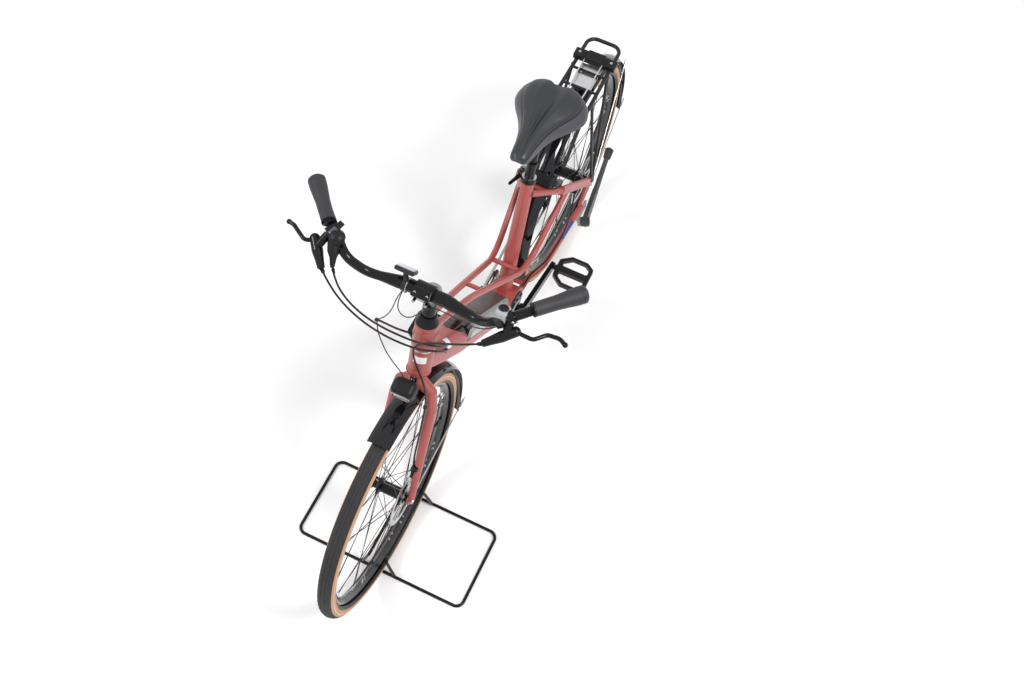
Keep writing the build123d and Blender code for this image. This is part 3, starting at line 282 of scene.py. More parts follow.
def battery_material():
    # Dark spine between two pale side panels, black nose, and a fine dark joint line.
    material, tree, shader = new_material("battery_case")
    side = maths(tree, "ABSOLUTE", along(tree, origin, left))
    spine = blotched(tree, 30.0, 4.0, shade(battery_dark, 0.8), shade(battery_dark, 1.3))
    panel = blotched(tree, 25.0, 4.0, shade(battery_grey, 0.93), shade(battery_grey, 1.06))
    colour = mixed(tree, maths(tree, "GREATER_THAN", side, spine_half), spine, panel)
    seam = between(tree, side, spine_half - 0.0008, spine_half + 0.0008)
    colour = mixed(tree, seam, colour, (0.01, 0.01, 0.01))
    nose = maths(tree, "LESS_THAN", along(tree, down_start, down_axis), nose_end)
    colour = mixed(tree, nose, colour, (0.008, 0.008, 0.01))
    paint(tree, shader, colour)
    uneven = spread(tree, noise(tree, 70.0, 4.0), 0.3, 0.45)
    tree.links.new(maths(tree, "SUBTRACT", uneven, both(tree, nose, 0.25)), shader.inputs["Roughness"])
    skin = maths(tree, "SUBTRACT", both(tree, noise(tree, 1500.0, 3.0), 0.2), seam)
    bump(tree, shader, skin, 0.5, 0.0006)
    return material


def frame_material():
    # Satin coral with flake, fine orange peel, and a blue band on the chain stays.
    material, tree, shader = new_material("coral_paint")
    drift = blotched(tree, 9.0, 3.0, shade(coral, 0.93), shade(coral, 1.07))
    flake = ramp(tree, cells(tree, 2600.0), [(0.0, (0.12, 0.12, 0.12)), (0.22, (0, 0, 0))])
    colour = mixed(tree, flake, drift, (0.75, 0.42, 0.38))
    stay = between(tree, along(tree, rear_axle, forward), 0.122, 0.192)
    low = maths(tree, "LESS_THAN", along(tree, rear_axle, up), -0.02)
    outside = maths(tree, "GREATER_THAN", along(tree, origin, left), 0.071)
    colour = mixed(tree, both(tree, stay, both(tree, low, outside)), colour, band_blue)
    paint(tree, shader, colour)
    gloss(tree, shader, 45.0, 4.0, 0.34, 0.46)
    lacquer(shader, 0.18, 0.2)
    bump(tree, shader, noise(tree, 700.0, 2.0), 0.12, 0.0003)
    return material


def rack_material():
    # Black tubes, with the sheet plate below the deck and the sprung wires above it left bright.
    material, tree, shader = new_material("rack_finish")
    ahead = along(tree, rear_axle, forward)
    side = maths(tree, "ABSOLUTE", along(tree, origin, left))
    height = along(tree, up * rack_top, up)
    high = maths(tree, "GREATER_THAN", height, -0.005)
    wires = both(tree, high, maths(tree, "LESS_THAN", side, 0.03))
    low = between(tree, height, -0.0215, -0.0165)
    plate = both(tree, low, between(tree, ahead, -0.094, -0.01))
    plate = both(tree, plate, maths(tree, "LESS_THAN", side, 0.031))
    bright = maths(tree, "MAXIMUM", wires, plate)
    black = blotched(tree, 14.0, 3.0, (0.01, 0.01, 0.011), (0.014, 0.014, 0.016))
    metal = blotched(tree, 30.0, 4.0, (0.55, 0.55, 0.56), (0.68, 0.68, 0.69))
    paint(tree, shader, mixed(tree, bright, black, metal))
    tree.links.new(bright, shader.inputs["Metallic"])
    gloss(tree, shader, 60.0, 5.0, 0.24, 0.36)
    shader.inputs["Specular IOR Level"].default_value = 0.3
    bump(tree, shader, noise(tree, 1200.0, 3.0), 0.15, 0.0003)
    return material


def display_material():
    # Black screen case on the right of the stem, pale grey thumb pod on its left.
    material, tree, shader = new_material("display_cases")
    on_left = maths(tree, "GREATER_THAN", along(tree, origin, left), 0.0)
    behind = along(tree, bar_centre + forward * 0.022, -forward)
    pod = both(tree, on_left, maths(tree, "GREATER_THAN", behind, 0.0))
    black = blotched(tree, 14.0, 3.0, (0.012, 0.012, 0.013), (0.018, 0.018, 0.02))
    pale = blotched(tree, 20.0, 3.0, (0.33, 0.33, 0.34), (0.4, 0.4, 0.41))
    paint(tree, shader, mixed(tree, pod, black, pale))
    gloss(tree, shader, 60.0, 5.0, 0.34, 0.48)
    shader.inputs["Specular IOR Level"].default_value = 0.3
    bump(tree, shader, noise(tree, 2000.0, 3.0), 0.3, 0.0003)
    return material


satin_black = coated("satin_black", (0.005, 0.005, 0.006), 0.17, 1400.0, 0.06, specular=0.24)
gloss_black = coated("gloss_black", (0.004, 0.004, 0.006), 0.07, 300.0, 0.03, specular=0.4)
black_plastic = coated("black_plastic", (0.009, 0.009, 0.01), 0.36, 2200.0, 0.35, specular=0.2)
dark_grey = coated("dark_grey_metal", (0.05, 0.051, 0.056), 0.36, 900.0, 0.2, 0.1, specular=0.35)
grey_plastic = coated("grey_plastic", (0.24, 0.24, 0.245), 0.42, 1800.0, 0.3, 0.1)
pale_plastic = coated("pale_plastic", (0.36, 0.36, 0.37), 0.4, 1800.0, 0.3, 0.1)
silver = brushed("cast_silver", (0.62, 0.62, 0.63), 0.3)
steel = brushed("steel", (0.5, 0.5, 0.51), 0.26)
tread_rubber = grained("tread_rubber", (0.03, 0.03, 0.032), 0.7, 1500.0, 0.3, 0.25)
tan_wall = coated("tan_sidewall", (0.5, 0.26, 0.125), 0.62, 1200.0, 0.5, blotch=0.08, specular=0.3)
reflective = coated("reflective_band", (0.42, 0.41, 0.43), 0.35, 1500.0, 0.2, 0.1)
grip_rubber = grained("grip_rubber", (0.03, 0.03, 0.033), 0.5, 1100.0, 0.35)
saddle_top = grained("saddle_top", (0.016, 0.017, 0.019), 0.34, 2400.0, 0.18, 0.5)
saddle_side = grained("saddle_side", (0.052, 0.048, 0.06), 0.36, 1600.0, 0.2, 0.4)
red_lens = glass("red_lens", (0.32, 0.01, 0.012))
clear_lens = glass("clear_lens", (0.55, 0.57, 0.6))
white_plate = coated("white_plate", (0.75, 0.75, 0.78), 0.4, 900.0, 0.1, 0.2)
# Screen glass: its pale lilac base colour is a painted reflection of the bright surroundings.
screen = glass("screen_painted_reflection", (0.42, 0.42, 0.5))
gear_window = glass("gear_window", (0.035, 0.04, 0.06))
rim_black = coated("rim_black", (0.022, 0.022, 0.025), 0.22, 700.0, 0.08, 0.1, specular=0.5)
hose_black = coated("hose_black", (0.01, 0.01, 0.012), 0.3, 1800.0, 0.1, specular=0.22)
wire_black = coated("wire_black", (0.02, 0.02, 0.022), 0.4, 1800.0, 0.1, 0.1, specular=0.3)
harness_brown = coated("harness_brown", (0.035, 0.018, 0.017), 0.5, 1800.0, 0.3, specular=0.3)
coral_paint = frame_material()
battery_case = battery_material()

MATERIALS = {
    "frame_paint": coral_paint,
    "black_metal": satin_black,
    "gloss_black": gloss_black,
    "black_plastic": black_plastic,
    "grey_plastic": grey_plastic,
    "silver": silver,
    "steel": steel,
    "tyre": tread_rubber,
    "grip_rubber": grip_rubber,
    "saddle_cover": saddle_top,
}
NODE_MATERIALS = {
    "battery": battery_case,
    "motor": black_plastic,
    "display": display_material(),
    "lower_headset": coral_paint,
    "rack": rack_material(),
    "side_stand_leg": dark_grey,
    "front_rim": rim_black,
    "rear_rim": rim_black,
    "stem_cap": grey_plastic,
}


def dress_solids():
    slot_of = {part["node"]: part["material_slot"] for part in frame["record"]["subparts"]}
    for node_name, solid in frame["nodes"].items():
        material = NODE_MATERIALS.get(node_name, MATERIALS[slot_of[node_name]])
        solid.data.materials.clear()
        solid.data.materials.append(material)


# ------------------------------------------------ mesh helpers
def add_object(name, data):
    thing = bpy.data.objects.new(name, data)
    bpy.context.scene.collection.objects.link(thing)
    return thing


def across_pair(axis):
    # Two directions at right angles to an axis and to each other.
    side = axis.orthogonal().normalized()
    return side, axis.cross(side).normalized()


def circle(centre, side, other, radius, sides):
    turns = [2 * math.pi * number / sides for number in range(sides)]
    return [centre + side * (radius * math.cos(t)) + other * (radius * math.sin(t)) for t in turns]


def in_wheel_plane(degrees, radius, across=0.0):
    # Offset at an angle round an axle that runs across the bicycle.
    turn = math.radians(degrees)
    return Vector((radius * math.cos(turn), across, radius * math.sin(turn)))


def pitched(degrees):
    # Two directions in the bicycle's plane: forward tipped up by an angle, and the one at right angles.
    turn = math.radians(degrees)
    return Vector((math.cos(turn), 0, math.sin(turn))), Vector((-math.sin(turn), 0, math.cos(turn)))


class Piece:
    # Gathers shapes into one mesh, each face with its own material.
    def __init__(self):
        self.vertices = []
        self.faces = []
        self.materials = []

    def add(self, vertices, faces, material=None):
        base = len(self.vertices)
        self.vertices += vertices
        self.faces += [tuple(base + corner for corner in face) for face in faces]
        self.materials += [material] * len(faces)

    def strip(self, rings, material):
        # Skins closed rings of equal length, each a list of points, and caps both ends.
        count = len(rings[0])
        last = count * (len(rings) - 1)
        faces = []
        for here in range(0, last, count):
            there = here + count
            for column in range(count):
                beside = (column + 1) % count
                faces.append((here + column, here + beside, there + beside, there + column))
        faces += [tuple(reversed(range(count))), tuple(range(last, last + count))]
        self.add([point for ring in rings for point in ring], faces, material)

    def turned(self, start, axis, profile, sides, material):
        # Solid of revolution from (distance along, radius) pairs in millimetres.
        axis = axis.normalized()
        side, other = across_pair(axis)
        rings = []
        for distance, radius in profile:
            rings.append(circle(start + axis * (distance / 1000), side, other, radius / 1000, sides))
        self.strip(rings, material)

    def tube(self, points, radius, sides, material):
        # Round tube whose rings turn with the path without twisting.
        rings = []
        side = None
        for number, point in enumerate(points):
            ahead = points[min(number + 1, len(points) - 1)] - points[max(number - 1, 0)]
            ahead.normalize()
            if side is None:
                side = ahead.orthogonal().normalized()
            side = (side - ahead * side.dot(ahead)).normalized()
            rings.append(circle(point, side, ahead.cross(side), radius, sides))
        self.strip(rings, material)

    def plate(self, centre, along_x, along_y, size, corner, material, bulge=0.0):
        # Rounded plate with softened edges; size is (length, width, thickness).
        normal = along_x.cross(along_y).normalized()
        length, width, thickness = size
        outline = []
        for sx, sy, start in ((1, 1, 0), (-1, 1, 90), (-1, -1, 180), (1, -1, 270)):
            for step in range(6):
                turn = math.radians(start + step * 18)
                x = sx * (length / 2 - corner) + corner * math.cos(turn)
                y = sy * (width / 2 - corner) + corner * math.sin(turn)
                outline.append((x, y))
        edge = min(thickness, corner) * 0.3
        rings = []
        for inset, height in ((edge, 0), (0, edge), (0, thickness - edge), (edge, thickness)):
            ring = []
            for x, y in outline:
                x_in = x * (1 - 2 * inset / length)
                y_in = y * (1 - 2 * inset / width)
                ring.append(centre + along_x * x_in + along_y * y_in + normal * height)
            rings.append(ring)
        raised = normal * (thickness * 0.4 + bulge)
        rings.append([centre + (point - centre) * 0.6 + raised for point in rings[-1]])
        self.strip(rings, material)

    def bolt(self, place, axis, radius, height, material):
        # Socket-head bolt: chamfered head with a six-sided recess.
        axis = axis.normalized()
        side, other = across_pair(axis)
        sides = 18
        rings = []
        head = [(0, 1.0, False), (height * 0.8, 1.0, False), (height, 0.86, False)]
        recess = [(height, 0.55, True), (height * 0.45, 0.5, True)]
        for distance, share, six in head + recess:
            ring = []
            for number in range(sides):
                turn = 2 * math.pi * number / sides
                reach = radius * share
                if six:
                    sixth = math.pi / 6
                    reach *= math.cos(sixth) / math.cos((turn + sixth) % (2 * sixth) - sixth)
                outward = side * (reach * math.cos(turn)) + other * (reach * math.sin(turn))
                ring.append(place + axis * distance + outward)
            rings.append(ring)
        self.strip(rings, material)

    def build(self, name, body, materials, sharp=40):
        mesh = bpy.data.meshes.new(name)
        mesh.from_pydata(self.vertices, [], self.faces)
        for material in materials:
            mesh.materials.append(material)
        mesh.polygons.foreach_set("material_index", [materials.index(used) for used in self.materials])
        mesh.polygons.foreach_set("use_smooth", [True] * len(self.faces))
        mesh.set_sharp_from_angle(angle=math.radians(sharp))
        mesh.update()
        piece = add_object(name, mesh)
        if body:
            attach(piece, body)
        return piece


# ------------------------------------------------ wheels
# Materials from the crown to the bead, each up to an angle, and the angles that the section is cut at.
TYRE_ZONES = [(58, tread_rubber), (78, tan_wall), (84, reflective)]
TYRE_ZONES += [(108, tan_wall), (180, black_plastic)]
TYRE_ANGLES = [0, 5, 10.5, 10.6, 13.4, 13.5, 16, 21, 26, 31, 36, 41, 46.9, 47, 49, 52, 52.1, 58, 66]
TYRE_ANGLES += [72, 78, 78.1, 84, 84.1, 92, 100, 108, 108.1, 116, 124]
TYRE_STEPS = 400


def tyre_radius(angle, step):
    # Height of the casing at an angle from the crown: two long grooves, slanted side cuts.
    degrees = abs(angle)
    if 10.5 <= degrees <= 13.5:
        return tyre_half - 0.0016
    if 16 <= degrees <= 47 and (step + int(degrees / 5)) % 5 == 0:
        return tyre_half - 0.0014
    if 49 <= degrees <= 52:
        return tyre_half - 0.0012
    if degrees > 104:
        return tyre_half - 0.0006
    return tyre_half - (0.0 if degrees < 49 else 0.0009)


def make_tyre(name, centre, body):
    # Casing swept round the axle, with a row of faces for each angle from the crown.
    core = wheel_radius - tyre_half
    bead = math.degrees(math.acos((rim_outer - core) / tyre_half))
    half = TYRE_ANGLES + [bead]
    angles = [-angle for angle in reversed(half[1:])] + half
    piece = Piece()
    rings = []
    for step in range(TYRE_STEPS):
        turn = 2 * math.pi * step / TYRE_STEPS
        ring = []
        for angle in angles:
            reach = tyre_radius(angle, step)
            radius = core + reach * math.cos(math.radians(angle))
            across = reach * math.sin(math.radians(angle))
            ring.append(centre + Vector((radius * math.cos(turn), across, radius * math.sin(turn))))
        rings.append(ring)
    count = len(angles)
    piece.add([point for ring in rings for point in ring], [])
    for row in range(TYRE_STEPS):
        here, there = row * count, (row + 1) % TYRE_STEPS * count
        for column in range(count - 1):
            middle = abs(angles[column] + angles[column + 1]) / 2
            piece.faces.append((here + column, here + column + 1, there + column + 1, there + column))
            piece.materials.append(next(material for end, material in TYRE_ZONES if middle < end))
    tyre = piece.build(name, body, [tread_rubber, tan_wall, reflective, black_plastic], 30)
    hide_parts(name.replace("_cover", ""))


SPOKES = 32
SPOKE_CROSS = 58.0
NIPPLE = [(0, 3.2), (1.5, 2.8), (2, 1.9), (11, 1.9), (12, 1.4)]
VALVE = [(0, 5.5), (2, 5.5), (3, 3), (22, 3), (23, 4.2), (36, 4), (39, 2)]
AXLE_CAP = [(0, 8.5), (3, 8.5), (4.5, 7.5), (4.5, 5), (1.5, 4)]
ROTOR_RING = [(0, 16), (3, 15.5), (4.5, 14.5), (4.5, 9.5), (1, 9.5)]


def wheel_details(name, centre, body, hub_half, rotor_y, valve_turn):
    # Spoke nipples, valve, axle caps, rotor bolts and lock ring.
    piece = Piece()
    for side in (-1, 1):
        for number in range(SPOKES // 2):
            lead = 1 if number % 2 else -1
            share = number + (0.25 if side > 0 else 0.75)
            radial = in_wheel_plane(720 / SPOKES * share + lead * SPOKE_CROSS, 1)
            seat = centre + radial * (rim_inner + 0.0005) + left * (side * 0.0022 + lead * 0.0009)
            piece.turned(seat, -radial, NIPPLE, 10, steel)
    radial = in_wheel_plane(valve_turn, 1)
    piece.turned(centre + radial * rim_inner, -radial, VALVE, 14, satin_black)
    for side in (-1, 1):
        piece.turned(centre + left * (side * (hub_half + 0.011)), left * side, AXLE_CAP, 20, steel)
    for number in range(6):
        place = centre + in_wheel_plane(60 * number + 12, 0.0195, rotor_y + 0.002)
        piece.bolt(place, left, 0.0036, 0.0022, steel)
    piece.turned(centre + left * (rotor_y + 0.001), left, ROTOR_RING, 30, satin_black)
    piece.build(name, body, [steel, satin_black])


# ------------------------------------------------ saddle
# Tail to nose: ahead of the clamp, half width, crown height, seam height, skirt depth, valley depth,
# and the seam's share of the half width.
SADDLE = [
    (-121, 50, 23, 12, 10, 2.0, 0.86),
    (-116, 66, 30, 13, 17, 5.0, 0.84),
    (-104, 84, 36, 14, 25, 9.0, 0.82),
    (-84, 95, 41, 14, 31, 12.0, 0.8),
    (-56, 96, 42, 15, 33, 12.5, 0.78),
    (-26, 82, 41, 17, 33, 11.5, 0.77),
    (6, 60, 39, 18, 31, 9.5, 0.78),
    (40, 43, 36, 19, 28, 7.0, 0.8),
    (76, 33, 34, 19, 24, 4.5, 0.82),
    (108, 28, 30, 18, 20, 2.4, 0.84),
    (128, 24, 26, 16, 15, 1.0, 0.86),
    (138, 16, 20, 13, 9, 0.0, 0.88),
]
SADDLE_NOSE = 0.137
SADDLE_DEPTH = 0.042


def smooth_rows(rows, steps):
    # Catmull-Rom run through the rows, evenly divided.
    result = []
    last = len(rows) - 1
    for number in range(steps + 1):
        place = number * last / steps
        first = min(int(place), last - 1)
        share = place - first
        before, start, end, after = (rows[max(0, min(last, first + step))] for step in (-1, 0, 1, 2))
        row = []
        for a, b, c, d in zip(before, start, end, after):
            square, cube = 2 * a - 5 * b + 4 * c - d, 3 * b - a - 3 * c + d
            row.append(0.5 * (2 * b + (c - a) * share + square * share**2 + cube * share**3))
        result.append(row)
    return result


def make_saddle():
    # Domed cover with a valley along it, a dark seam, and a side panel that leans out to the lower lip.
    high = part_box("saddle")[1]
    middle = high[0] - SADDLE_NOSE
    base = high[2] - SADDLE_DEPTH
    piece = Piece()
    rings = []
    steps = 40
    across = [-1 + 2 * number / steps for number in range(steps + 1)]
    rows = smooth_rows(SADDLE, 72)
    for ahead, half, crown, edge, skirt, valley, seam in rows:
        x = middle + ahead / 1000
        ring = []
        narrow = 0.16 + 0.12 * max(0.0, min(1.0, (20 - ahead) / 120))
        for t in across:
            dome = (1 - abs(t) ** 2.4) ** 0.62
            height = edge + (crown - edge) * dome
            ridge = 0.22 * math.exp(-(((abs(t) - 0.42) / 0.13) ** 2))
            height -= valley * math.exp(-((t / narrow) ** 2)) - valley * ridge
            notch = 13 * math.exp(-((t * half / 24) ** 2)) * max(0.0, min(1.0, (-96 - ahead) / 25))
            ring.append(Vector((x + notch / 1000, t * half * seam / 1000, base + height / 1000)))
        edge_points = []
        for out, drop in ((0.8, 0.9), (0.2, 2.0), (1.4, 2.6)):
            edge_points.append((half * seam + out, edge - drop))
        wall = half * (1 - seam)
        for out, drop in ((0.42, 0.28), (0.78, 0.58), (0.97, 0.84), (1.0, 0.95)):
            edge_points.append((half * seam + wall * out, edge - drop * skirt))
        edge_points += [(half * 0.96, edge - skirt), (half * 0.88, edge - skirt + 1)]
        edge_points += [(half * 0.8, 4), (half * 0.4, 5), (0, 5)]
        right = [Vector((x, y / 1000, base + z / 1000)) for y, z in edge_points]
        left_side = [Vector((x, -y / 1000, base + z / 1000)) for y, z in reversed(edge_points[:-1])]
        rings.append(ring + right + left_side)
    count = len(rings[0])
    piece.add([point for ring in rings for point in ring], [])
    last = count * (len(rings) - 1)
    for here in range(0, last, count):
        there = here + count
        for column in range(count):
            beside = (column + 1) % count
            piece.faces.append((here + column, there + column, there + beside, here + beside))
            near_seam = column <= steps + 2 or column >= count - 3
            panel = black_plastic if near_seam else saddle_side
            piece.materials.append(saddle_top if column < steps else panel)
    piece.faces += [tuple(range(count)), tuple(reversed(range(last, last + count)))]
    piece.materials += [saddle_side, saddle_side]
    saddle = piece.build("saddle_cover", "frame", [saddle_top, saddle_side, black_plastic], 50)
    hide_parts("saddle")


# ------------------------------------------------ battery and drive
def on_tube(distance, across, height):
    return down_start + down_axis * distance + down_up * height + left * across


def skin_drop(across, flat, corner):
    # How far a rounded section falls away beyond its flat middle.
    beyond = max(0.0, min(abs(across) - flat, corner * 0.98))
    return corner - math.sqrt(corner**2 - beyond**2)


# Front cap: distance down the tube, half width, height of its middle, whether it lies on the battery.
NOSE_CAP = [
    (0.176, 0.008, 0.0383, False), (0.184, 0.018, 0.0395, False), (0.196, 0.027, 0.0415, False),
    (0.208, 0.032, 0.0435, False), (0.2199, 0.036, 0.0452, False), (0.22, 0.038, 0.0455, True),
    (0.232, 0.0395, 0.0472, True), (0.244, 0.0405, 0.0488, True),
]
KEY_BARREL = [(0, 8), (2, 8), (3, 7), (3, 3.5), (1, 3)]


def battery_details():
    # Glossy front cap on the tube, pale lower panels with black ribs, lock barrel.
    piece = Piece()
    rings = []
    for distance, half, height, on_case in NOSE_CAP:
        flat, corner = (0.025, 0.0165) if on_case else (0.013, 0.03)
        ring = []
        for number in range(25):
            across = half * (-1 + number / 12)
            ring.append(on_tube(distance, across, height - skin_drop(across, flat, corner)))
        ring += [on_tube(distance, half * 0.98, 0.02), on_tube(distance, -half * 0.98, 0.02)]
        rings.append(ring)
    piece.strip(rings, gloss_black)
    for side in (-1, 1):
        normal = left * side
        for distance in (0.226, 0.243):
            low = on_tube(distance, side * 0.041, 0.021)
            piece.plate(low, down_up * side, down_axis, (0.024, 0.0036, 0.0022), 0.0014, black_plastic)
        seat = on_tube(0.41, side * 0.0408, 0.019)
        across = down_axis.cross(normal)
        piece.plate(seat, down_axis, -across, (0.31, 0.02, 0.0012), 0.005, pale_plastic)
        for distance in (0.275, 0.545):
            piece.bolt(on_tube(distance, side * 0.0418, 0.019), normal, 0.0032, 0.0012, silver)
    piece.turned(on_tube(0.47, 0.0405, 0.033), left, KEY_BARREL, 24, silver)
    piece.build("battery_trim", "frame", [black_plastic, pale_plastic, gloss_black, silver])


CRANK_CAP = [(0, 12.5), (3, 12.5), (4.2, 11.2), (4.2, 6), (1, 5)]
MOTOR_RIM = [(0, 33.5), (1.6, 33.5), (2.6, 32.5), (2.6, 26.2), (1.8, 25.8)]
MOTOR_DISC = [(0, 24.5), (2.2, 24.5), (3, 23.6), (3.1, 19.5), (1.8, 19)]


def drive_details():
    # Crank bolts, chainring bolts, motor cover screws and rings.
    crank = Piece()
    for side in (-1, 1):
        crank.turned(crank_axle + left * (side * 0.0705), left * side, CRANK_CAP, 24, satin_black)
    for number in range(5):
        place = crank_axle + in_wheel_plane(72 * number + 20, 0.068, -0.0505)
        crank.bolt(place, -left, 0.0052, 0.0022, steel)
    crank.build("crank_bolts", "crank", [satin_black, steel])
    motor = Piece()
    centre = crank_axle + Vector((0.012, 0, 0.004))
    for number in range(5):
        place = centre + in_wheel_plane(72 * number + 18, 0.0496, 0.0455)
        motor.bolt(place, left, 0.004, 0.0028, steel)
    face = centre + left * 0.0468
    motor.turned(face, left, MOTOR_RIM, 48, pale_plastic)
    motor.turned(face, left, MOTOR_DISC, 40, dark_grey)
    motor.build("motor_screws", "frame", [steel, dark_grey, pale_plastic])


# ------------------------------------------------ cockpit
BAR_RISE = (bar_centre + Vector((0.024, 0.182, 0.05)), bar_centre + Vector((-0.022, 0.245, 0.081)))
CLAMP_EDGE = [(0, 14.8), (1, 15.8), (2, 15.8), (3, 14.8)]
SHIFTER_RING = [(0, 11.2), (0.4, 13.6), (2.6, 13.6), (3, 11.2)]
DISPLAY_CLAMP = [(0, 16.4), (0.6, 18), (2.4, 18), (3, 16.4)]
POD_RING = [(0, 11.5), (2, 11.5), (3, 10.4), (3, 7.8), (1.2, 7)]
BELL_SCREW = [(0, 3.4), (1.2, 3.4), (2, 2.6), (2.2, 0.8)]
BELL_RIM = [(0, 17.8), (0.4, 19), (2, 19), (2.6, 17.8)]
HOSE_NUT = [(0, 4.6), (9, 4.6), (9.5, 3.6), (13, 3.2)]
CABLE_END = [(0, 4.2), (8, 3.6), (14, 3)]
GRIP_PLUG = [(0, 16.5), (1.5, 16.5), (3, 14.5), (3, 6), (2, 4)]
GRIP_FLANGE = [(0, 13.5), (0.2, 16.6), (2.8, 16.6), (3.5, 15.8)]


def on_bar(share, side=1):
    # Place on the rising part of the handlebar, on the left or the right.
    place = BAR_RISE[0].lerp(BAR_RISE[1], share)
    return Vector((place.x, place.y * side, place.z))


def bar_direction(side):
    return (on_bar(1, side) - on_bar(0, side)).normalized()


def cockpit_details():
    # Faceplate bolts, clamp rings, hose nuts, bell, thumb pod buttons, gear window and screen glass, whose pale
    # colour is a painted reflection.
    piece = Piece()
    for side in (-0.015, 0.015):
        for height in (-0.014, 0.014):
            place = bar_centre + head_forward * 0.0275 + head_up * height + left * side
            piece.bolt(place, head_forward, 0.0037, 0.002, steel)
    for side, share in ((1, 0.42), (-1, 0.78)):
        axis = bar_direction(side)
        clamp = on_bar(share, side)
        out = axis.cross(up).normalized() * side
        if out.x < 0:
            out = -out
        piece.bolt(clamp + out * 0.0145 + up * 0.004, out, 0.0034, 0.003, steel)
        piece.turned(clamp - axis * 0.0085, axis, CLAMP_EDGE, 28, black_plastic)
    axis = bar_direction(-1)
    for shift in (0.009, 0.0135):
        piece.turned(on_bar(0.86, -1) + axis * shift, axis, SHIFTER_RING, 28, black_plastic)
    face = pitched(48)[0]
    glass_seat = at(882.6, -51.8, 1072) + face.cross(left) * 0.0052
    # Screen glass plate, coloured with a painted reflection.
    piece.plate(glass_seat, face, left, (0.027, 0.043, 0.002), 0.003, screen, 0.0004)
    piece.turned(at(895.6, -40.0, 1034), -left, DISPLAY_CLAMP, 32, steel)
    pod = on_bar(0.08) + Vector((-0.014, 0, 0.005))
    back, rise = pitched(20)
    piece.turned(pod + rise * 0.0195, rise, POD_RING, 30, black_plastic)
    for step in (-1, 1):
        place = pod - back * 0.0165 + rise * (0.009 * step)
        piece.plate(place, rise, left, (0.011, 0.017, 0.0022), 0.003, black_plastic, 0.0006)
    window = on_bar(0.58, -1) + Vector((0.002, -0.002, 0.0208))
    turn = math.radians(20)
    ahead = Vector((math.cos(turn), -math.sin(turn), -0.24)).normalized()
    across = (left - ahead * ahead.y).normalized()
    piece.plate(window, ahead, across, (0.019, 0.015, 0.0014), 0.0025, gear_window, 0.0005)
    bell = on_bar(0.45, -1) + Vector((0.001, 0, 0.014))
    bell_up = Vector((0.25, -0.05, 1)).normalized()
    piece.turned(bell + bell_up * 0.0155, bell_up, BELL_SCREW, 18, black_plastic)
    piece.turned(bell - bell_up * 0.002, bell_up, BELL_RIM, 36, black_plastic)
    piece.turned(at(967, 172, 1061), Vector((0.02, -0.75, -0.65)), HOSE_NUT, 12, black_plastic)
    piece.turned(at(960, -218, 1066), Vector((0.1, 0.3, -0.95)), HOSE_NUT, 12, black_plastic)
    piece.turned(at(947, -198, 1061), Vector((0.14, 0.14, -0.98)), CABLE_END, 12, black_plastic)
    materials = [steel, screen, black_plastic, gear_window]
    piece.build("cockpit_fittings", "steering", materials)


def grip_details(name, side):
    # Plug in the flared outer end, and the flange at the inner end.
    piece = Piece()
    start = on_bar(1, side)
    end = bar_centre + Vector((-0.111, side * 0.327, 0.075))
    axis = (end - start).normalized()
    piece.turned(start + axis * 0.121, axis, GRIP_PLUG, 28, black_plastic)
    piece.turned(start - axis * 0.0012, axis, GRIP_FLANGE, 30, black_plastic)
    piece.build(name, "steering", [grip_rubber, black_plastic])


# ------------------------------------------------ head, crown, rear end and stand
HEAD_RING = [(0, 26.2), (0.6, 28.6), (2.2, 28.9), (3.8, 28.6), (4.4, 26.2)]
CABLE_PORT = [(-2, 6.2), (1, 6.2), (2.2, 5), (2.6, 3)]
HOSE_CLIP = [(0, 4), (0.5, 4.8), (8, 4.8), (8.5, 4)]
SEAT_COLLAR = [(0, 14.8), (0.4, 19.6), (1.8, 19.6), (2.2, 14.8)]
PIVOT_FACE = [(0, 14.2), (1, 14.2), (1.8, 13.2), (1.8, 7.5), (0.8, 7)]


def round_head(degrees):
    # Direction out of the head tube, at an angle to the left of its front.
    turn = math.radians(degrees)
    return head_forward * math.cos(turn) + left * math.sin(turn)


def wrapped_label(piece, level, radius, first, last, height):
    # Thin label that follows the head tube's round face, between two angles from its front.
    rings = []
    for number in range(13):
        out = round_head(first + (last - first) * number / 12)
        low = crown_race + head_up * (level - height / 2) + out * radius
        high = crown_race + head_up * (level + height / 2) + out * radius
        rings.append([low, high, high - out * 0.0012, low - out * 0.0012])
    piece.strip(rings, white_plate)


def flank(distance, turn, off=0.0):
    # Place on the rounded upper left edge of the down tube's narrow front, and the way it faces.
    share = (distance + 0.006) / 0.116
    half, low, high = 0.025 + 0.012 * share, -0.03 - 0.0044 * share, 0.034
    corner = 0.4 * min(2 * half, high - low)
    angle = math.radians(turn)
    across = half - corner + (corner + off) * math.cos(angle)
    height = high - corner + (corner + off) * math.sin(angle)
    return on_tube(distance, across, height), left * math.cos(angle) + down_up * math.sin(angle)


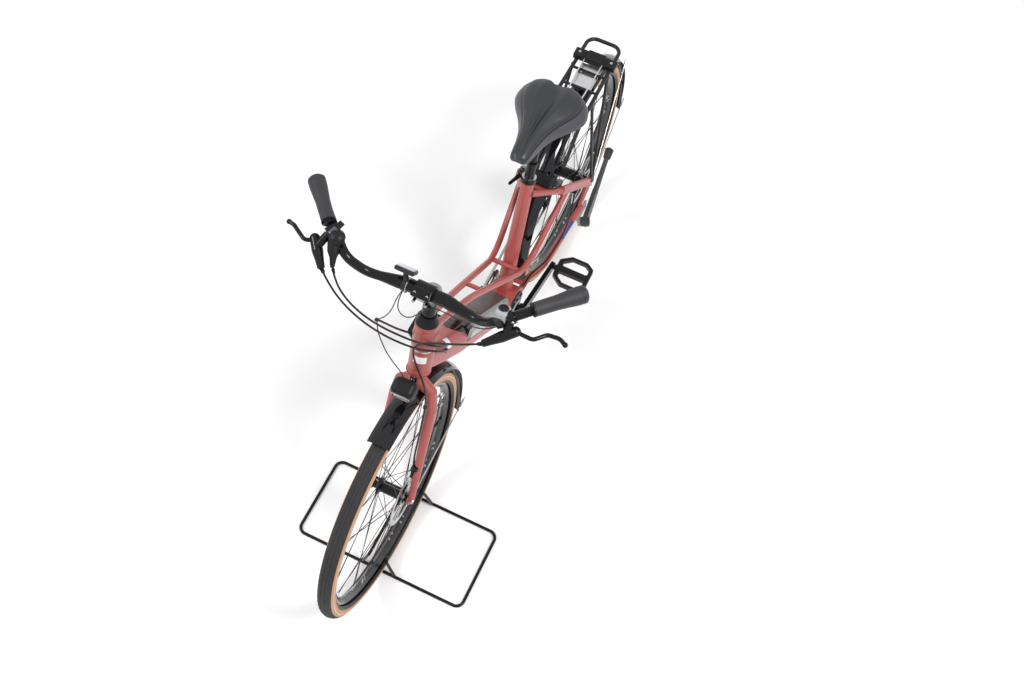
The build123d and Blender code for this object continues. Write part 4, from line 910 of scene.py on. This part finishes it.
def head_details():
    # Silver ring and blank label on the head tube, sleeve behind it, blank plate and cable ports.
    piece = Piece()
    piece.turned(crown_race + head_up * 0.086, head_up, HEAD_RING, 48, silver)
    wrapped_label(piece, 0.06, 0.0269, -22, 52, 0.021)
    rings = []
    for number in range(53):
        turn = 50 + number * 5
        rise = min(1.0, min(turn - 50, 310 - turn) / 45)
        radius = 0.0264 + 0.0031 * rise * rise * (3 - 2 * rise)
        out = round_head(turn)
        ring = []
        for height, reach in ((0.0165, 0.0262), (0.02, radius), (0.136, radius), (0.1395, 0.0262)):
            ring.append(crown_race + head_up * height + out * reach)
        rings.append(ring)
    piece.strip(rings, coral_paint)
    rings = []
    for turn in range(22, 79, 8):
        corners = [flank(0.089, turn, 0.0002)[0], flank(0.112, turn, 0.0002)[0]]
        rings.append(corners + [flank(0.112, turn, 0.0009)[0], flank(0.089, turn, 0.0009)[0]])
    piece.strip(rings, white_plate)
    for distance, turn in ((0.082, 48), (0.0775, 18)):
        place, facing = flank(distance, turn)
        piece.turned(place, facing, CABLE_PORT, 18, black_plastic)
    piece.build("head_plates", "frame", [silver, white_plate, coral_paint, black_plastic])


def crown_details():
    # Lamp bracket on the crown, bright lamp trim, and the clip that holds the brake hose.
    piece = Piece()
    bracket = crown_race - head_up * 0.008 + head_forward * 0.0235
    piece.plate(bracket, left, head_up, (0.018, 0.019, 0.004), 0.003, black_plastic)
    piece.bolt(bracket + head_forward * 0.004, head_forward, 0.0045, 0.0025, steel)
    lamp = crown_race + head_forward * 0.074 + head_up * 0.002
    ahead, rise = pitched(-12)
    piece.plate(lamp + ahead * 0.0208, left, rise, (0.034, 0.026, 0.0025), 0.007, clear_lens, 0.001)
    trim = []
    for number in range(25):
        turn = 2 * math.pi * number / 24
        wide = math.copysign(0.0225 * abs(math.cos(turn)) ** 0.6, math.cos(turn))
        tall = math.copysign(0.0175 * abs(math.sin(turn)) ** 0.6, math.sin(turn))
        trim.append(lamp + ahead * 0.0222 + left * wide + rise * tall)
    piece.tube(trim + [trim[1]], 0.0016, 8, steel)
    piece.turned(at(996, 41, 670), Vector((0.3, 0, -0.95)), HOSE_CLIP, 14, black_plastic)
    piece.build("crown_fittings", "steering", [black_plastic, steel, clear_lens])


def rear_details():
    # Red lens, rack screws, the block's strap plates, and a bright ring on the seat clamp.
    piece = Piece()
    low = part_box("rear_light")[0]
    lamp = Vector((low[0], 0, low[2] + 0.015))
    piece.plate(lamp + forward * 0.0006, up, left, (0.02, 0.082, 0.003), 0.006, red_lens, 0.0015)
    for side in (-1, 1):
        piece.bolt(at(6, side * 83.4, 381), left * side, 0.0048, 0.003, steel)
        piece.bolt(lamp + Vector((-0.0005, side * 0.0455, 0)), -forward, 0.0022, 0.0012, steel)
    piece.turned(seat_tube_top + seat_up * 0.0092, seat_up, SEAT_COLLAR, 36, steel)
    top = at(-110, 0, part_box("rack_block")[1][2] * 1000 - 2.1)
    for side in (-1, 1):
        piece.bolt(top + left * (side * 0.047), up, 0.0042, 0.002, steel)
        strap = top + left * (side * 0.0325)
        piece.plate(strap, left, -forward, (0.007, 0.024, 0.0016), 0.001, black_plastic)
    piece.build("rear_fittings", "frame", [red_lens, steel, black_plastic])


def stand_details():
    # Dark pivot face with its screw, and the ribs moulded round the rubber foot.
    piece = Piece()
    hinge = Vector(joint_of["side_stand_fold"]["axis"]).normalized()
    piece.turned(stand_pivot + hinge * 0.0118, hinge, PIVOT_FACE, 28, black_plastic)
    way = Vector((-229, -26, 62)).normalized()
    for number in range(7):
        place = stand_pivot + way * (0.2195 + number * 0.0042)
        low = 10.7 + 0.35 * number
        rib = [(0, low), (0.5, low + 1.2), (1.8, low + 1.2), (2.3, low)]
        piece.turned(place, way, rib, 22, grip_rubber)
    piece.build("stand_fittings", "side_stand", [black_plastic, grip_rubber])


# ------------------------------------------------ cords
def route_line(name, route):
    # Smooth centreline of a route, whose points in millimetres are the control points of a spline.
    points = [at(*point) for point in route]
    curve = bpy.data.curves.new(name, "CURVE")
    curve.dimensions = "3D"
    curve.resolution_u = 8
    spline = curve.splines.new("NURBS")
    spline.points.add(len(points) - 1)
    for control, point in zip(spline.points, points):
        control.co = (*point, 1.0)
    spline.order_u = 3
    spline.use_endpoint_u = True
    return curve


def free_cord(name, body, route, radius, material):
    # Hose or wire with both ends on one body.
    curve = route_line(name, route)
    curve.bevel_depth = radius
    curve.bevel_resolution = 3
    curve.use_fill_caps = True
    curve.materials.append(material)
    piece = add_object(name, curve)
    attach(piece, body)
    return piece


def blended_cord(name, route, radius, length, material, start, end):
    # Mesh tube along a route between the handlebar and the frame, left unattached to any body.
    curve = route_line(name + "_line", route)
    holder = add_object(name + "_line", curve)
    bpy.context.view_layer.update()
    line = bpy.data.meshes.new_from_object(holder)
    path = [vertex.co.copy() for vertex in line.vertices]
    bpy.data.objects.remove(holder)
    piece = Piece()
    piece.tube(path, radius, 12, material)
    cord = piece.build(name, None, [material], 60)
    start, end = (tuple(at(*place)) for place in (start, end))
    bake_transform(cord)
    return cord


FRONT_HOSE = [
    (967, 171, 1060), (968, 140, 1032), (965, 108, 1000), (961, 74, 966), (957, 40, 933),
    (956, 12, 905), (960, -4, 872), (970, 4, 838), (982, 24, 806), (990, 40, 764), (993, 43, 712),
    (999, 41, 656), (1023, 41, 596), (1046, 41, 540), (1062, 40, 502), (1071, 41, 464),
]
GEAR_CABLE = [
    (947, -199, 1060), (954, -192, 1026), (957, -176, 982), (957, -150, 942), (955, -116, 912),
    (952, -78, 894), (949, -40, 886), (944, -4, 878), (930, 26, 862), (908, 42, 832), (886, 42, 796),
    (868, 38, 766), (857, 25, 741),
]
REAR_HOSE = [
    (960, -219, 1065), (965, -204, 1026), (967, -182, 978), (967, -152, 936), (966, -114, 904),
    (964, -72, 884), (960, -32, 874), (954, 6, 868), (938, 36, 856), (914, 50, 824), (890, 49, 788),
    (874, 43, 758), (866, 31, 737),
]
STAY_HOSE = [
    (388, 36, 306), (352, 38, 305), (318, 48, 306), (284, 62, 309), (240, 68, 314), (190, 70, 318),
    (140, 68, 330), (104, 62, 358), (88, 58, 392),
]
BAR_WIRE = [
    (905, -52, 1014), (918, -56, 995), (930, -54, 973), (936, -38, 960), (934, -18, 966),
    (924, -2, 984), (915, 14, 1001), (911, 34, 1013), (914, 60, 1019), (919, 100, 1024),
    (926, 138, 1034), (924, 168, 1052), (917, 188, 1070),
]
DROP_WIRE = [
    (906, -54, 1013), (917, -61, 996), (926, -65, 973), (932, -72, 948), (936, -84, 922),
    (938, -98, 904), (938, -106, 893),
]
HARNESS = [
    (938, -106, 893), (932, -88, 878), (924, -66, 859), (914, -46, 842), (906, -30, 831),
    (901, -20, 826),
]
LAMP_WIRE = [
    (938, -106, 893), (944, -104, 876), (952, -98, 856), (960, -86, 834), (971, -68, 812),
    (981, -44, 797), (990, -22, 789), (1000, -8, 786),
]

# The stretch over which the hoses, and the harness, pass from the handlebar to the frame.
HOSE_BEND = ((950, -40, 886), (868, 40, 766))
HARNESS_BEND = ((934, -94, 886), (903, -24, 828))
PLUG = [(0, 1), (0.8, 3), (3, 4.6), (6, 4.8), (9, 3.8), (11, 1.6)]


def make_cords():
    front = free_cord("front_hose", "steering", FRONT_HOSE, hose_radius, hose_black)
    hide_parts("front_brake_hose")
    rear = free_cord("stay_hose", "frame", STAY_HOSE, hose_radius, hose_black)
    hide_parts("rear_brake_hose")
    gear = blended_cord("gear_cable", GEAR_CABLE, hose_radius, 0.475, hose_black, *HOSE_BEND)
    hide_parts("bar_cables")
    blended_cord("bar_hose", REAR_HOSE, hose_radius, 0.506, hose_black, *HOSE_BEND)
    free_cord("bar_wire", "steering", BAR_WIRE, 0.0013, wire_black)
    free_cord("drop_wire", "steering", DROP_WIRE, 0.0013, wire_black)
    free_cord("lamp_wire", "steering", LAMP_WIRE, 0.0014, wire_black)
    blended_cord("wire_harness", HARNESS, 0.0026, 0.116, harness_brown, *HARNESS_BEND)
    plug = Piece()
    plug.turned(at(940, -108, 898), Vector((-0.1, 0.25, -0.96)), PLUG, 18, harness_brown)
    plug.build("harness_plug", "steering", [harness_brown])


# ------------------------------------------------ build everything
dress_solids()
make_tyre("front_tyre_cover", front_axle, "front_wheel")
make_tyre("rear_tyre_cover", rear_axle, "rear_wheel")
wheel_details("front_wheel_fittings", front_axle, "front_wheel", 0.05, 0.0385, 200)
wheel_details("rear_wheel_fittings", rear_axle, "rear_wheel", 0.0675, 0.046, 100)
make_saddle()
battery_details()
drive_details()
cockpit_details()
grip_details("grip_ends_left", 1)
grip_details("grip_ends_right", -1)
head_details()
crown_details()
rear_details()
stand_details()
make_cords()


# ------------------------------------------------ floor, light and camera
def make_floor():
    half = 30.0
    mesh = bpy.data.meshes.new("floor")
    corners = [(-half, -half, 0), (half, -half, 0), (half, half, 0), (-half, half, 0)]
    mesh.from_pydata(corners, [], [(0, 1, 2, 3)])
    floor = add_object("floor", mesh)
    material, _, shader = new_material("pale_floor")
    shader.inputs["Base Color"].default_value = (0.96, 0.96, 0.965, 1)
    shader.inputs["Roughness"].default_value = 0.6
    mesh.materials.append(material)


def make_lights():
    world = bpy.data.worlds.new("studio")
    bpy.context.scene.world = world
    world.use_nodes = True
    tree = world.node_tree
    background = tree.nodes["Background"]
    background.inputs["Color"].default_value = (1, 1, 1, 1)
    # White where it is seen, mirrored or looked through; a little dimmer as light on the object.
    ray = tree.nodes.new("ShaderNodeLightPath").outputs
    seen = maths(tree, "MAXIMUM", ray["Is Camera Ray"], ray["Is Glossy Ray"])
    seen = maths(tree, "MAXIMUM", seen, ray["Is Transmission Ray"])
    strength = maths(tree, "ADD", both(tree, seen, 0.24), 0.76)
    tree.links.new(strength, background.inputs["Strength"])
    for name, place, size, power in (
        ("key", (0.6, 2.4, 4.2), 1.0, 105),
        ("fill", (1.6, -2.6, 3.6), 0.9, 55),
    ):
        lamp = bpy.data.lights.new(name, "AREA")
        lamp.size = size
        lamp.energy = power
        lamp_object = add_object(name, lamp)
        lamp_object.location = place
        aim = Vector((0, 0, 0.4)) - Vector(place)
        lamp_object.rotation_euler = aim.to_track_quat("-Z", "Y").to_euler()


def make_camera():
    camera = bpy.data.cameras.new("camera")
    camera.sensor_width = 36.0
    camera.lens = 41.99
    camera_object = add_object("camera", camera)
    camera_object.location = (1.47024, 0.64903, 3.31098)
    turn = (27.4022, -2.2026, 115.3744)
    camera_object.rotation_euler = [math.radians(angle) for angle in turn]
    bpy.context.scene.camera = camera_object


make_floor()
make_lights()
make_camera()
bpy.context.scene.view_settings.view_transform = "Standard"
